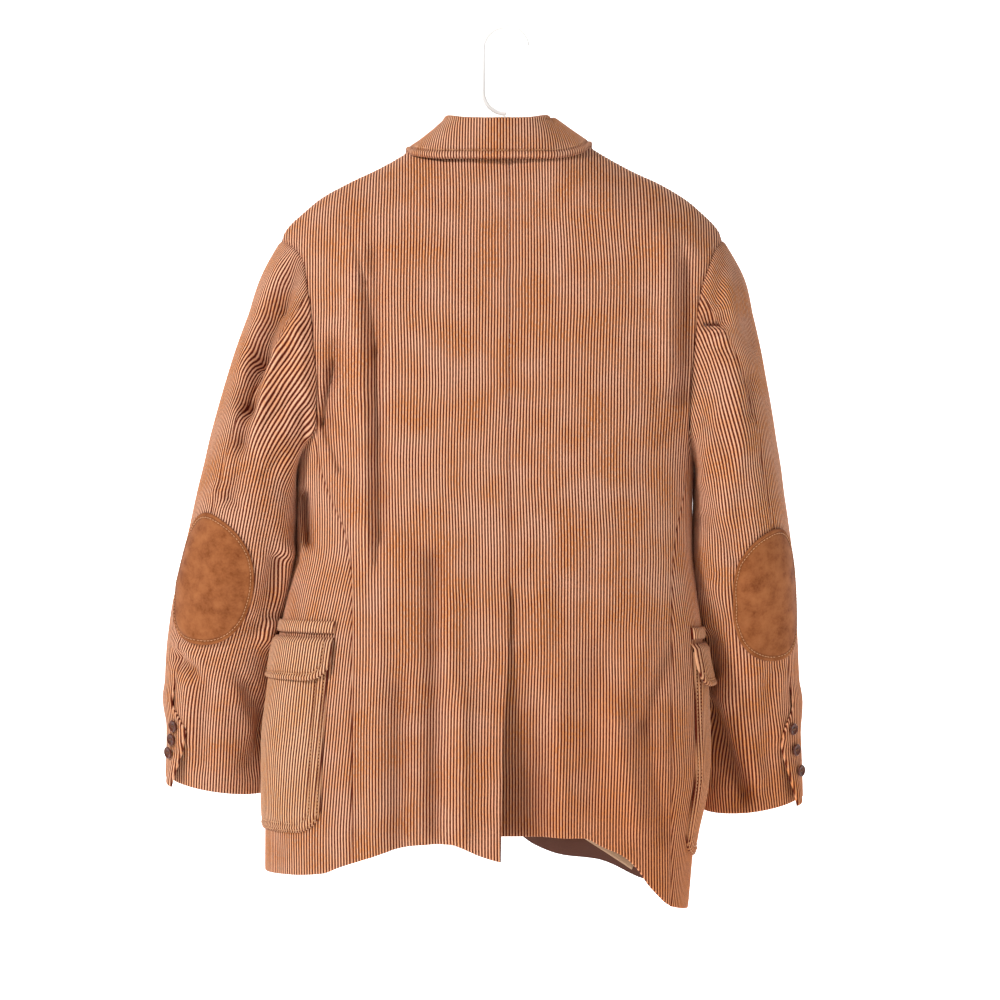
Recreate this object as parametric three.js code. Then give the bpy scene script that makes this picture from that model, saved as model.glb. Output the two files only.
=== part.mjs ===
import * as THREE from 'three';

// A single-breasted corduroy jacket hanging on a plastic hanger, in millimetres.
// The inner top of the hook is the origin, +Z is up, the wearer's left is +X and the back faces +Y.

const left = 1;
const right = -1;
const sideName = { [left]: 'left', [right]: 'right' };

// Cloth
const cloth = 2;
const seamGap = 0.34;
const suede = 1.8;
const lift = 1.2; // air under a piece that lies on a panel

// Torso
const seamX = -6; // centre-back seam
const squareness = 2.6; // exponent of the torso's rounded section
const shoulderRound = 70; // height over which the shoulder rounds over
const sideTop = 135; // turn of the armhole, in degrees, where the side panel starts
const armStep = 15; // degrees between the armhole's points
const ventTop = -655;
const underlap = 42;
const frontLap = 18;
const breakHeight = -560;
const cutaway = 90; // radius of the fronts' rounded corners
const neckX = 7;
const neckHalf = 74;
const lowerRows = 13;
const backColumns = 12;
const frontColumns = 10;
const sideColumns = 6;

// Half widths and depths of the torso by height. They are virtual above the armpit, where the armhole cuts them.
const torsoRows = [
  { z: -953, left: 263, right: 192, back: 100, front: 102 },
  { z: -867, left: 263, right: 200, back: 99, front: 101 },
  { z: -792, left: 261, right: 211, back: 97, front: 100 },
  { z: -716, left: 255, right: 210, back: 95, front: 99 },
  { z: -660, left: 249, right: 208, back: 94, front: 98 },
  { z: -610, left: 239, right: 202, back: 93, front: 98 },
  { z: -557, left: 229, right: 197, back: 92, front: 97 },
  { z: -467, left: 228, right: 198, back: 92, front: 95 },
  { z: -434, left: 233, right: 204, back: 91, front: 93 },
  { z: -380, left: 245, right: 218, back: 90, front: 90 },
  { z: -300, left: 262, right: 240, back: 87, front: 82 },
  { z: -232, left: 275, right: 258, back: 80, front: 70 },
  { z: -100, left: 275, right: 262, back: 52, front: 44 },
];

// The shoulder's ridge, and the armhole's distance from the middle
const shoulderRows = [
  { x: 0, z: -60 },
  { x: 60, z: -105 },
  { x: 80, z: -119 },
  { x: 111, z: -139 },
  { x: 137, z: -153 },
  { x: 170, z: -169 },
  { x: 198, z: -185 },
  { x: 217, z: -201 },
  { x: 234, z: -218 },
  { x: 241, z: -231 },
];
const armholeRows = [
  { z: -434, left: 199, right: 198 },
  { z: -391, left: 198, right: 199 },
  { z: -341, left: 202, right: 203 },
  { z: -308, left: 204, right: 206 },
  { z: -284, left: 208, right: 210 },
  { z: -262, left: 211, right: 218 },
  { z: -245, left: 220, right: 224 },
  { z: -231, left: 240, right: 236 },
];
const armhole = { top: -231, bottom: -467, scoop: 8 };

// The hem, by the turn from the middle of the back round to the middle of the front
const hemRows = [
  { turn: 0, left: -889, right: -864 },
  { turn: 4, left: -881, right: -864 },
  { turn: 9, left: -870, right: -864 },
  { turn: 17, left: -872, right: -864 },
  { turn: 24, left: -880, right: -874 },
  { turn: 31, left: -889, right: -883 },
  { turn: 37, left: -896, right: -896 },
  { turn: 44, left: -904, right: -918 },
  { turn: 57, left: -907, right: -940 },
  { turn: 90, left: -908, right: -949 },
  { turn: 137, left: -898, right: -930 },
  { turn: 157, left: -889, right: -911 },
  { turn: 180, left: -884, right: -906 },
];
const seamRows = [
  { z: -953, backLeft: 159, backRight: -177, frontLeft: 184, frontRight: -165 },
  { z: -600, backLeft: 160, backRight: -178, frontLeft: 187, frontRight: -176 },
  { z: -557, backLeft: 165, backRight: -182, frontLeft: 190, frontRight: -180 },
  { z: -500, backLeft: 178, backRight: -189, frontLeft: 193, frontRight: -185 },
  { z: -434, backLeft: 199, backRight: -198, frontLeft: 193, frontRight: -192 },
];
const ventRows = [
  { z: -953, edge: 4 },
  { z: -780, edge: 1 },
  { z: -655, edge: -6 },
];
// The fold line of the lapel, at the left and right front
const rollRows = [
  { z: -560, x: 0 },
  { z: -400, x: 27 },
  { z: -250, x: 53 },
  { z: -160, x: 66 },
  { z: -112, x: 72 },
];

// Largest folds of the torso, as lines in the view from behind. High is under 0 for a trough.
const backFolds = [
  { x1: 158, z1: -235, x2: 145, z2: -560, wide: 13, high: 6 },
  { x1: 136, z1: -250, x2: 129, z2: -550, wide: 12, high: -8 },
  { x1: -172, z1: -240, x2: -174, z2: -370, wide: 13, high: 5 },
  { x1: -190, z1: -260, x2: -188, z2: -400, wide: 10, high: -7 },
  { x1: 178, z1: -345, x2: 184, z2: -428, wide: 10, high: -7 },
  { x1: 74, z1: -570, x2: 73, z2: -850, wide: 15, high: -6 },
  { x1: 44, z1: -710, x2: 46, z2: -860, wide: 15, high: 6 },
  { x1: 109, z1: -690, x2: 110, z2: -860, wide: 18, high: -4 },
  { x1: -150, z1: -650, x2: -116, z2: -730, wide: 17, high: 5 },
  { x1: -116, z1: -730, x2: -142, z2: -850, wide: 17, high: 5 },
];
const frontFolds = [
  { x1: 150, z1: -300, x2: 140, z2: -520, wide: 16, high: -6 },
  { x1: -148, z1: -290, x2: -138, z2: -500, wide: 16, high: -6 },
  { x1: 80, z1: -600, x2: 92, z2: -840, wide: 20, high: 5 },
  { x1: -84, z1: -620, x2: -76, z2: -860, wide: 20, high: 5 },
];

// Sleeves: the outer and inner edges of each section in the view from behind, its half depth and its middle's y
const sleeveRows = {
  [left]: [
    { at: 0, outX: 240, outZ: -231, inX: 222, inZ: -467, deep: 58, y: 0 },
    { at: 0.095, outX: 264, outZ: -283, inX: 224.5, inZ: -480, deep: 62, y: 1 },
    { at: 0.267, outX: 299, outZ: -380, inX: 228, inZ: -516, deep: 65, y: 4 },
    { at: 0.437, outX: 325, outZ: -478, inX: 231, inZ: -563, deep: 62, y: 3 },
    { at: 0.603, outX: 348, outZ: -575, inX: 242, inZ: -612, deep: 59, y: -2 },
    { at: 0.715, outX: 363, outZ: -640, inX: 255, inZ: -658, deep: 54, y: -12 },
    { at: 0.823, outX: 370, outZ: -705, inX: 261, inZ: -712, deep: 48, y: -24 },
    { at: 0.915, outX: 368, outZ: -760, inX: 260, inZ: -766, deep: 43, y: -36 },
    { at: 1, outX: 369, outZ: -811, inX: 257, inZ: -827, deep: 39, y: -48 },
  ],
  [right]: [
    { at: 0, outX: 236, outZ: -231, inX: 204, inZ: -467, deep: 58, y: 0 },
    { at: 0.095, outX: 260, outZ: -283, inX: 207.5, inZ: -482, deep: 62, y: 1 },
    { at: 0.267, outX: 283, outZ: -380, inX: 209.5, inZ: -516, deep: 66, y: 4 },
    { at: 0.437, outX: 299, outZ: -478, inX: 212, inZ: -560, deep: 66, y: 3 },
    { at: 0.603, outX: 313, outZ: -575, inX: 217, inZ: -608, deep: 61, y: -4 },
    { at: 0.715, outX: 319, outZ: -640, inX: 229, inZ: -655, deep: 55, y: -15 },
    { at: 0.823, outX: 324, outZ: -705, inX: 230, inZ: -710, deep: 50, y: -28 },
    { at: 0.915, outX: 326, outZ: -770, inX: 226, inZ: -778, deep: 45, y: -42 },
    { at: 1, outX: 327, outZ: -834, inX: 216, inZ: -848, deep: 40, y: -54 },
  ],
};
const sleeve = { blend: 0.3, head: 5, sag: 9, foreSeam: -120, lap: 24, ventLift: 3.4, flare: 8 };
const sleeveRings = { plain: 14, until: 0.78, rise: 0.82, lapped: 0.88, vent: [0.82, 0.84, 0.86, 0.88, 0.92, 0.96, 1] };
const hindRows = [
  { at: 0, turn: 60 },
  { at: 0.6, turn: 52 },
  { at: 0.85, turn: 42 },
  { at: 1, turn: 24 },
];
const sleeveFolds = {
  [left]: [
    { x1: 222, z1: -266, x2: 247, z2: -308, wide: 11, high: -6 },
    { x1: 247, z1: -308, x2: 273, z2: -398, wide: 12, high: -7 },
    { x1: 233, z1: -560, x2: 256, z2: -662, wide: 10, high: 4 },
    { x1: 246, z1: -577, x2: 262, z2: -645, wide: 10, high: -5 },
    { x1: 296, z1: -508, x2: 272, z2: -500, wide: 9, high: -4 },
    { x1: 355, z1: -682, x2: 334, z2: -698, wide: 9, high: -4 },
    { x1: 280, z1: -735, x2: 262, z2: -755, wide: 11, high: -5 },
  ],
  [right]: [
    { x1: -216, z1: -735, x2: -261, z2: -822, wide: 12, high: -6 },
    { x1: -264, z1: -665, x2: -272, z2: -830, wide: 15, high: 4 },
    { x1: -207, z1: -320, x2: -230, z2: -318, wide: 10, high: -5 },
    { x1: -260, z1: -380, x2: -260, z2: -415, wide: 9, high: -3 },
    { x1: -234, z1: -665, x2: -232, z2: -800, wide: 12, high: -4 },
  ],
};

// Trims
const patch = { [left]: { at: 0.62, turn: 66 }, [right]: { at: 0.655, turn: 62 }, halfAlong: 78, halfAcross: 45, lift: 1.65 };
const pocket = {
  [left]: { from: 44, to: 131, top: -664, bottom: -862 },
  [right]: { from: 62, to: 150, top: -672, bottom: -890 },
  corner: 26,
  thick: 2.2,
  bulge: 4,
};
const flap = { height: 46, rise: 9, overhang: 1.5, thick: 2.4 };
const band = { height: 13, above: 17, thick: 1.6 };
const cuffButton = { radius: 6.6, thick: 3.4, count: 3 };
const cuffButtonPlaces = { [left]: { from: 0.9, step: 0.023 }, [right]: { from: 0.895, step: 0.03 } };
const frontButton = { radius: 10.5, thick: 4.4, heights: [-578, -688] };
const lapel = { rows: 9, columns: 4, rise: 3.2 };
const lapelRows = [
  { along: 0, x: 2, z: -556 },
  { along: 0.25, x: 52, z: -470 },
  { along: 0.6, x: 96, z: -356 },
  { along: 0.9, x: 119, z: -276 },
  { along: 1, x: 122, z: -258 },
];
const gorge = { x: 68, z: -186 };
// Collar sections from the middle of the back to the front end: roll line, outer edge and foot
const collarRows = [
  { turn: 0, rollX: 0, rollY: 62, rollZ: -109, edgeX: 0, edgeY: 72, edgeZ: -149, footX: 0, footY: 58, footZ: -136.6 },
  { turn: 40, rollX: 36, rollY: 54, rollZ: -107, edgeX: 56, edgeY: 66, edgeZ: -148, footX: 40, footY: 49, footZ: -130 },
  { turn: 75, rollX: 57, rollY: 25, rollZ: -102, edgeX: 93, edgeY: 36, edgeZ: -140, footX: 61, footY: 21, footZ: -116 },
  { turn: 100, rollX: 59, rollY: -4, rollZ: -102, edgeX: 99, edgeY: -4, edgeZ: -132, footX: 61, footY: -4, footZ: -112 },
  { turn: 135, rollX: 59, rollY: -34, rollZ: -118, edgeX: 104, edgeY: -52, edgeZ: -170, footX: 57, footY: -28, footZ: -126 },
  { turn: 170, rollX: 58, rollY: -62, rollZ: -160, edgeX: 101, edgeY: -84, edgeZ: -224, footX: 54, footY: -52, footZ: -166 },
];
const collar = { stations: 28, stand: 3, fall: 5, rollRadius: 4.5, thick: 2.4, clear: 4.2, bow: 0.8 };

// Hanger
const hook = { rod: 4.8, bend: 24.4, x: -2, upperZ: -22, lowerZ: -67.5, tipTurn: 168, steps: 34 };
const hangerNeck = { radius: 7.5, top: -94.8, bottom: -116 };
const hangerArm = { reach: 206, deep: 26, high: 11, below: 7, centreTop: -116.4, steps: 26 };

const degrees = Math.PI / 180;
const clamp = (value, low, high) => Math.min(high, Math.max(low, value));
const lerp = (a, b, t) => a + (b - a) * t;
const smooth = (value) => {
  const t = clamp(value, 0, 1);
  return t * t * (3 - 2 * t);
};
const vector = (x, y, z) => new THREE.Vector3(x, y, z);

// Reads a column of a table at a value of its key, on a smooth curve with no overshoot.
function read(rows, key, at, column) {
  const last = rows.length - 1;
  const slope = (k) => (rows[k + 1][column] - rows[k][column]) / (rows[k + 1][key] - rows[k][key]);
  const tangent = (k) => {
    if (k === 0) return slope(0);
    if (k === last) return slope(last - 1);
    const product = slope(k - 1) * slope(k);
    return product <= 0 ? 0 : (2 * product) / (slope(k - 1) + slope(k));
  };
  let i = 0;
  while (i < last - 1 && at > rows[i + 1][key]) i += 1;
  const step = rows[i + 1][key] - rows[i][key];
  const t = clamp((at - rows[i][key]) / step, 0, 1);
  const t2 = t * t;
  const t3 = t2 * t;
  return (
    rows[i][column] * (2 * t3 - 3 * t2 + 1) +
    rows[i + 1][column] * (3 * t2 - 2 * t3) +
    step * (tangent(i) * (t3 - 2 * t2 + t) + tangent(i + 1) * (t3 - t2))
  );
}

// Sum of soft ridges and troughs along lines, each fading past its ends.
function foldHeight(folds, x, z) {
  let sum = 0;
  for (const fold of folds) {
    const dx = fold.x2 - fold.x1;
    const dz = fold.z2 - fold.z1;
    const t = clamp(((x - fold.x1) * dx + (z - fold.z1) * dz) / (dx * dx + dz * dz), 0, 1);
    const away = Math.hypot(x - fold.x1 - t * dx, z - fold.z1 - t * dz) / fold.wide;
    sum += fold.high * Math.exp(-away * away);
  }
  return sum;
}

// Torso surface

const shoulderZ = (x) => read(shoulderRows, 'x', Math.abs(x) * (x < 0 ? 1.015 : 1), 'z');
const width = (side, z) => read(torsoRows, 'z', z, sideName[side]);

function rounding(x, z) {
  const q = (shoulderZ(x) - z) / shoulderRound;
  return q >= 1 ? 1 : Math.sqrt(Math.max(0, 1 - (1 - q) ** 2));
}

function torsoPoint(side, angle, z) {
  const power = 2 / squareness;
  const c = Math.cos(angle);
  const x = seamX + side * width(side, z) * Math.abs(Math.sin(angle)) ** power;
  const depth = c > 0 ? read(torsoRows, 'z', z, 'back') : -read(torsoRows, 'z', z, 'front');
  const share = Math.abs(c) ** power;
  const fold = foldHeight(c > 0 ? backFolds : frontFolds, x, z) * smooth(share / 0.5) * Math.sign(c);
  return vector(x, (depth * share + fold) * rounding(x, z), z);
}

function angleAt(side, x, z, behind) {
  const share = clamp(Math.abs(x - seamX) / width(side, z), 0, 1);
  const angle = Math.asin(share ** (squareness / 2));
  return behind ? angle : Math.PI - angle;
}

const onBack = (x, z) => {
  const side = x < seamX ? right : left;
  return torsoPoint(side, angleAt(side, x, z, true), z);
};
const onFront = (x, z) => {
  const side = x < seamX ? right : left;
  return torsoPoint(side, angleAt(side, x, z, false), z);
};

// Above 0 outside the torso, also over its shoulders
function torsoLevel(p) {
  const side = p.x < seamX ? right : left;
  const share = clamp(1 - (Math.abs(p.x - seamX) / width(side, p.z)) ** squareness, 0.01, 1) ** (1 / squareness);
  const deep = share * read(torsoRows, 'z', p.z, p.y > 0 ? 'back' : 'front');
  const q = Math.min(1, (shoulderZ(p.x) - p.z) / shoulderRound);
  return (p.y / deep) ** 2 + (1 - q) ** 2 - 1;
}

// Moves a point out to at least a distance from the torso.
function clearOfTorso(point, distance) {
  const p = point.clone();
  for (let k = 0; k < 4; k += 1) {
    const level = torsoLevel(p);
    const slope = vector(
      torsoLevel(p.clone().setX(p.x + 0.5)) - level,
      torsoLevel(p.clone().setY(p.y + 0.5)) - level,
      torsoLevel(p.clone().setZ(p.z + 0.5)) - level,
    ).multiplyScalar(2);
    const away = level / slope.length();
    if (away < distance) p.addScaledVector(slope.normalize(), distance - away);
  }
  return p;
}

// Outward normal of a surface of two parameters. Sign is that of the outward side: -1 for the back by its x and for
// the left half by its angle, and 1 for the front and for the right half.
function normalOf(surface, sign, a, b, da, db) {
  const across = surface(a + da, b).sub(surface(a - da, b));
  const along = surface(a, b + db).sub(surface(a, b - db));
  return across.cross(along).normalize().multiplyScalar(sign);
}

// The armhole, from the shoulder tip (0) round the back (90) and under the arm (180) to the front
function armholeAngle(side, turn) {
  const z = lerp(armhole.bottom, armhole.top, (1 + Math.cos(turn * degrees)) / 2);
  const behind = turn <= 180;
  const fold = behind ? turn : 360 - turn;
  const at = Math.min(fold, sideTop);
  const seamZ = lerp(armhole.bottom, armhole.top, (1 + Math.cos(at * degrees)) / 2);
  const scoop = behind ? 0 : armhole.scoop * Math.sin(at * degrees);
  const x = side * (read(armholeRows, 'z', seamZ, sideName[side]) - scoop);
  const edge = angleAt(side, x, seamZ, behind);
  const angle = lerp(edge, Math.PI / 2, clamp((fold - sideTop) / (180 - sideTop), 0, 1));
  return { angle, z };
}

function armholePoint(side, turn) {
  const { angle, z } = armholeAngle(side, turn);
  return torsoPoint(side, angle, z);
}

function ridgeNormal(x) {
  const slope = (shoulderZ(x + 1) - shoulderZ(x - 1)) / 2;
  return vector(-slope, 0, 1).normalize();
}

function armholeTorsoNormal(side, turn) {
  if (turn % 360 === 0) return ridgeNormal(armholePoint(side, 0).x - side * 3);
  const { angle, z } = armholeAngle(side, turn);
  return normalOf((a, b) => torsoPoint(side, a, b), -side, angle, z, 0.01, 1);
}

// Sleeve surface

function sleeveFrame(side, at) {
  const rows = sleeveRows[side];
  const value = (column) => read(rows, 'at', at, column);
  const outer = vector(side * value('outX'), value('y'), value('outZ'));
  const inner = vector(side * value('inX'), value('y'), value('inZ'));
  const half = outer.clone().sub(inner).multiplyScalar(0.5);
  const square = vector(-half.z, 0, half.x).normalize();
  return { centre: outer.clone().add(inner).multiplyScalar(0.5), half, square, deep: value('deep') };
}

function sleevePoint(side, at, turn) {
  const frame = sleeveFrame(side, at);
  const start = sleeveFrame(side, 0);
  const loop = armholePoint(side, ((turn % 360) + 360) % 360).sub(start.centre);
  const blend = smooth(at / sleeve.blend);
  const c = Math.cos(turn * degrees);
  const s = Math.sin(turn * degrees);
  const alpha = lerp(loop.dot(start.half) / start.half.lengthSq(), c, blend);
  const beta = lerp(loop.y / start.deep, s, blend);
  const gamma = loop.dot(start.square) * (1 - blend);
  const point = frame.centre
    .clone()
    .addScaledVector(frame.half, alpha)
    .addScaledVector(frame.square, gamma);
  point.y += frame.deep * beta;
  const outward = frame.half.clone().normalize().multiplyScalar(c);
  outward.y += s;
  const early = Math.sin(Math.PI * clamp(at / 0.14, 0, 1));
  const fade = smooth(at / 0.05) * smooth(s / 0.4);
  const push = sleeve.head * early * Math.max(0, c) + foldHeight(sleeveFolds[side], point.x, point.z) * fade;
  point.addScaledVector(outward, push);
  point.z -= sleeve.sag * Math.max(0, s) * smooth((at - 0.8) / 0.2);
  return point;
}

const hindTurn = (at) => read(hindRows, 'at', at, 'turn');
const ringCount = sleeveRings.plain + sleeveRings.vent.length;
const sleeveAt = (ring) =>
  ring <= sleeveRings.plain
    ? sleeveRings.until * (ring / sleeveRings.plain) ** 1.15
    : sleeveRings.vent[ring - sleeveRings.plain - 1];

function sleeveNormal(side, at, turn) {
  const low = Math.max(at - 0.004, 0);
  const along = sleevePoint(side, low + 0.008, turn).sub(sleevePoint(side, low, turn));
  const across = sleevePoint(side, at, turn + 2).sub(sleevePoint(side, at, turn - 2));
  return across.cross(along).multiplyScalar(-side).normalize();
}

// Where the armhole's seam is convex both walls lean to the mean of their normals, and elsewhere each keeps its own.
function armholeNormals(side, turn) {
  const torso = armholeTorsoNormal(side, turn);
  const tube = sleeveNormal(side, 0, turn);
  const into = sleevePoint(side, 0.01, turn).sub(sleevePoint(side, 0, turn)).normalize();
  const convex = torso.dot(into) < 0 && torso.dot(tube) > 0;
  const mean = torso.clone().add(tube).normalize();
  return convex ? { torso: mean, tube: mean } : { torso, tube };
}

// Mesh builders

function finish(color, roughness) {
  return new THREE.MeshStandardMaterial({ color, roughness, metalness: 0, side: THREE.FrontSide });
}
const corduroy = finish(0xc58560, 0.95);
const cordTrim = finish(0xd09a70, 0.95);
const suedeBrown = finish(0xae6a3e, 0.9);
const buttonBrown = finish(0x2a1a14, 0.35);
const whitePlastic = finish(0xf4f4f2, 0.3);

const jacket = new THREE.Group();

function addMesh(name, geometry, material) {
  const mesh = new THREE.Mesh(geometry, material);
  mesh.name = name;
  jacket.add(mesh);
  return mesh;
}

// Closes two grids of points, the outer and the inner face of a piece, into one solid.
function shell(name, outer, inner, material) {
  const rows = outer.length;
  const columns = outer[0].length;
  const positions = [];
  for (const face of [outer, inner]) {
    for (const row of face) {
      for (const p of row) positions.push(p.x, p.y, p.z);
    }
  }
  const id = (face, i, j) => (face * rows + i) * columns + j;
  const faces = [];
  const quad = (a, b, c, d) => faces.push(a, b, c, a, c, d);
  for (let i = 0; i < rows - 1; i += 1) {
    for (let j = 0; j < columns - 1; j += 1) {
      quad(id(0, i, j), id(0, i, j + 1), id(0, i + 1, j + 1), id(0, i + 1, j));
      quad(id(1, i, j), id(1, i + 1, j), id(1, i + 1, j + 1), id(1, i, j + 1));
    }
  }
  for (let i = 0; i < rows - 1; i += 1) {
    quad(id(0, i, 0), id(0, i + 1, 0), id(1, i + 1, 0), id(1, i, 0));
    quad(id(0, i, columns - 1), id(1, i, columns - 1), id(1, i + 1, columns - 1), id(0, i + 1, columns - 1));
  }
  for (let j = 0; j < columns - 1; j += 1) {
    quad(id(0, 0, j + 1), id(0, 0, j), id(1, 0, j), id(1, 0, j + 1));
    quad(id(0, rows - 1, j), id(0, rows - 1, j + 1), id(1, rows - 1, j + 1), id(1, rows - 1, j));
  }
  const mi = Math.floor(rows / 2);
  const mj = Math.floor(columns / 2);
  const middle = outer[mi][mj];
  const across = middle.clone().sub(outer[mi][mj - 1]);
  const along = middle.clone().sub(outer[mi - 1][mj]);
  const outward = middle.clone().sub(inner[mi][mj]);
  if (across.cross(along).dot(outward) < 0) faces.reverse();
  const geometry = new THREE.BufferGeometry();
  geometry.setAttribute('position', new THREE.Float32BufferAttribute(positions, 3));
  geometry.setIndex(faces);
  geometry.computeVertexNormals();
  return addMesh(name, geometry, material);
}

const grid = (rows, columns, make) =>
  Array.from({ length: rows + 1 }, (_, i) => Array.from({ length: columns + 1 }, (__, j) => make(i, j)));

// A piece from points that each hold a place and a normal: its faces lie at two heights above that place.
function layer(name, spots, low, high, material) {
  const at = (height) =>
    spots.map((row, i) =>
      row.map((spot, j) => spot.p.clone().addScaledVector(spot.n, typeof height === 'function' ? height(i, j) : height)),
    );
  return shell(name, at(high), at(low), material);
}

// Rows of the torso's panels, shared by neighbours so that their seams meet point to point

const armTurns = [];
for (let turn = sideTop; turn >= 0; turn -= armStep) armTurns.push(turn);
const upperRows = (armTurns.length - 1) * 2;
const neckline = (x, behind) => {
  const share = clamp(Math.abs(x - neckX) / neckHalf, 0, 1);
  return behind ? -137 + 22 * share ** 2.2 : -115;
};

// A seam's x at a height, led to the armhole's corner at its top
function seamAt(side, behind, z) {
  const key = (behind ? 'back' : 'front') + (side === left ? 'Left' : 'Right');
  const corner = armholePoint(side, behind ? sideTop : 360 - sideTop);
  return lerp(corner.x, read(seamRows, 'z', z, key), smooth((corner.z - z) / 120));
}

const hemZ = (side, turn) => read(hemRows, 'turn', turn / degrees, sideName[side]);

// Edge of an upper row at the armhole: every second one lies halfway along the line between two of the loop's points.
function armEdge(side, row, behind) {
  const spotAt = (turn) => {
    const full = behind ? turn : 360 - turn;
    return { p: armholePoint(side, full % 360), n: armholeNormals(side, full).torso };
  };
  const k = row / 2;
  const a = spotAt(armTurns[Math.floor(k)]);
  if (row % 2 === 0) return a;
  const b = spotAt(armTurns[Math.floor(k) + 1]);
  return { p: a.p.clone().lerp(b.p, 0.5), n: a.n.clone().add(b.n).normalize() };
}

function ventDepth(side, x, z) {
  if (side === left) return 1.2 * smooth((-640 - z) / 40);
  const depth = 5.5 * smooth((-585 - z) / 35) + 10 * smooth((-660 - z) / 190);
  return -depth * (1 - smooth((seamX - x) / 52));
}

function makeBack(side) {
  const behind = true;
  const topX = side * 240;
  const neckEdge = neckX + side * neckHalf;
  const neckColumn = 4;
  const surface = (x, z) => {
    const p = onBack(side === right ? Math.min(x, 60) : x, z);
    p.y += ventDepth(side, x, z);
    return p;
  };
  const innerX = (z) => {
    if (z > ventTop) return seamX + (side * seamGap) / 2;
    if (side === left) return read(ventRows, 'z', z, 'edge');
    return seamX - seamGap / 2 + underlap * smooth((ventTop - 6 - z) / 22);
  };
  const spots = grid(lowerRows + upperRows, backColumns, (i, j) => {
    const u = j / backColumns;
    if (i <= lowerRows) {
      const edgeTop = armholePoint(side, sideTop).z;
      const f = i / lowerRows;
      const hemX = lerp(seamX, seamAt(side, behind, -900), u);
      const hem = hemZ(side, angleAt(side, hemX, -900, behind));
      const z = lerp(hem, edgeTop, f);
      const edgeX = seamAt(side, behind, z) - (side * seamGap) / 2;
      const x = lerp(innerX(z), edgeX, u);
      return { p: surface(x, z), n: normalOf(surface, -1, x, z, 1, 2) };
    }
    const row = i - lowerRows;
    const edge = armEdge(side, row, behind);
    const edgeStart = armholePoint(side, sideTop).z;
    const share = (edge.p.z - edgeStart) / (armhole.top - edgeStart);
    const topShare =
      j <= neckColumn
        ? (lerp(seamX, neckEdge, j / neckColumn) - seamX) / (topX - seamX)
        : (lerp(neckEdge, topX, (j - neckColumn) / (backColumns - neckColumn)) - seamX) / (topX - seamX);
    const fraction = lerp(u, topShare, smooth(share));
    const xTop = seamX + (topX - seamX) * topShare;
    const zTop = j <= neckColumn ? neckline(xTop, behind) : shoulderZ(xTop);
    const z = lerp(edgeStart, zTop, share);
    const atTop = row === upperRows;
    if (j === backColumns) {
      const p = edge.p.clone();
      p.x -= (side * seamGap) / 2;
      if (atTop) p.y += seamGap / 2;
      return { p, n: edge.n };
    }
    const x = lerp(seamX + (side * seamGap) / 2, edge.p.x - (side * seamGap) / 2, fraction);
    const p = surface(x, atTop ? zTop : z);
    const n = normalOf(surface, -1, x, Math.min(z, zTop - 2), 1, 1.5);
    if (atTop && j >= neckColumn) {
      p.y = seamGap / 2;
      p.z = shoulderZ(x);
      return { p, n: ridgeNormal(x) };
    }
    return { p, n };
  });
  layer(`back_${sideName[side]}`, spots, -cloth, 0, corduroy);
}

function makeSide(side) {
  const surface = (angle, z) => torsoPoint(side, angle, z);
  const spots = grid(lowerRows, sideColumns, (i, j) => {
    const turn = lerp(sideTop, 360 - sideTop, j / sideColumns);
    const top = armholeAngle(side, turn);
    const f = i / lowerRows;
    const u = j / sideColumns;
    const angleIn = (z, behind) => angleAt(side, seamAt(side, behind, z), z, behind);
    const plainAt = (z) => lerp(angleIn(z, true), angleIn(z, false), u);
    const z = lerp(hemZ(side, plainAt(-900)), top.z, f);
    const bow = top.angle - lerp(angleIn(top.z, true), angleIn(top.z, false), u);
    const inset = (1.6 * (seamGap / 2) * (1 - 2 * u)) / width(side, z);
    const angle = plainAt(z) + bow * smooth((f - 0.55) / 0.45) + inset;
    const spot = { p: surface(angle, z), n: normalOf(surface, -side, angle, Math.min(z, -300), 0.01, 1) };
    if (i === lowerRows) spot.p.z -= seamGap / 2;
    return spot;
  });
  layer(`side_${sideName[side]}`, spots, -cloth, 0, corduroy);
}

const rollX = (side, z) => side * read(rollRows, 'z', z, 'x') + neckX * smooth((z + 560) / 400);

function frontSurface(side) {
  return (x, z) => {
    const p = onFront(x, z);
    const over = smooth((46 - side * (x - seamX)) / 20);
    if (side === right) p.y += 5.2 * over * smooth((breakHeight + 30 - z) / 30);
    return p;
  };
}

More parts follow.
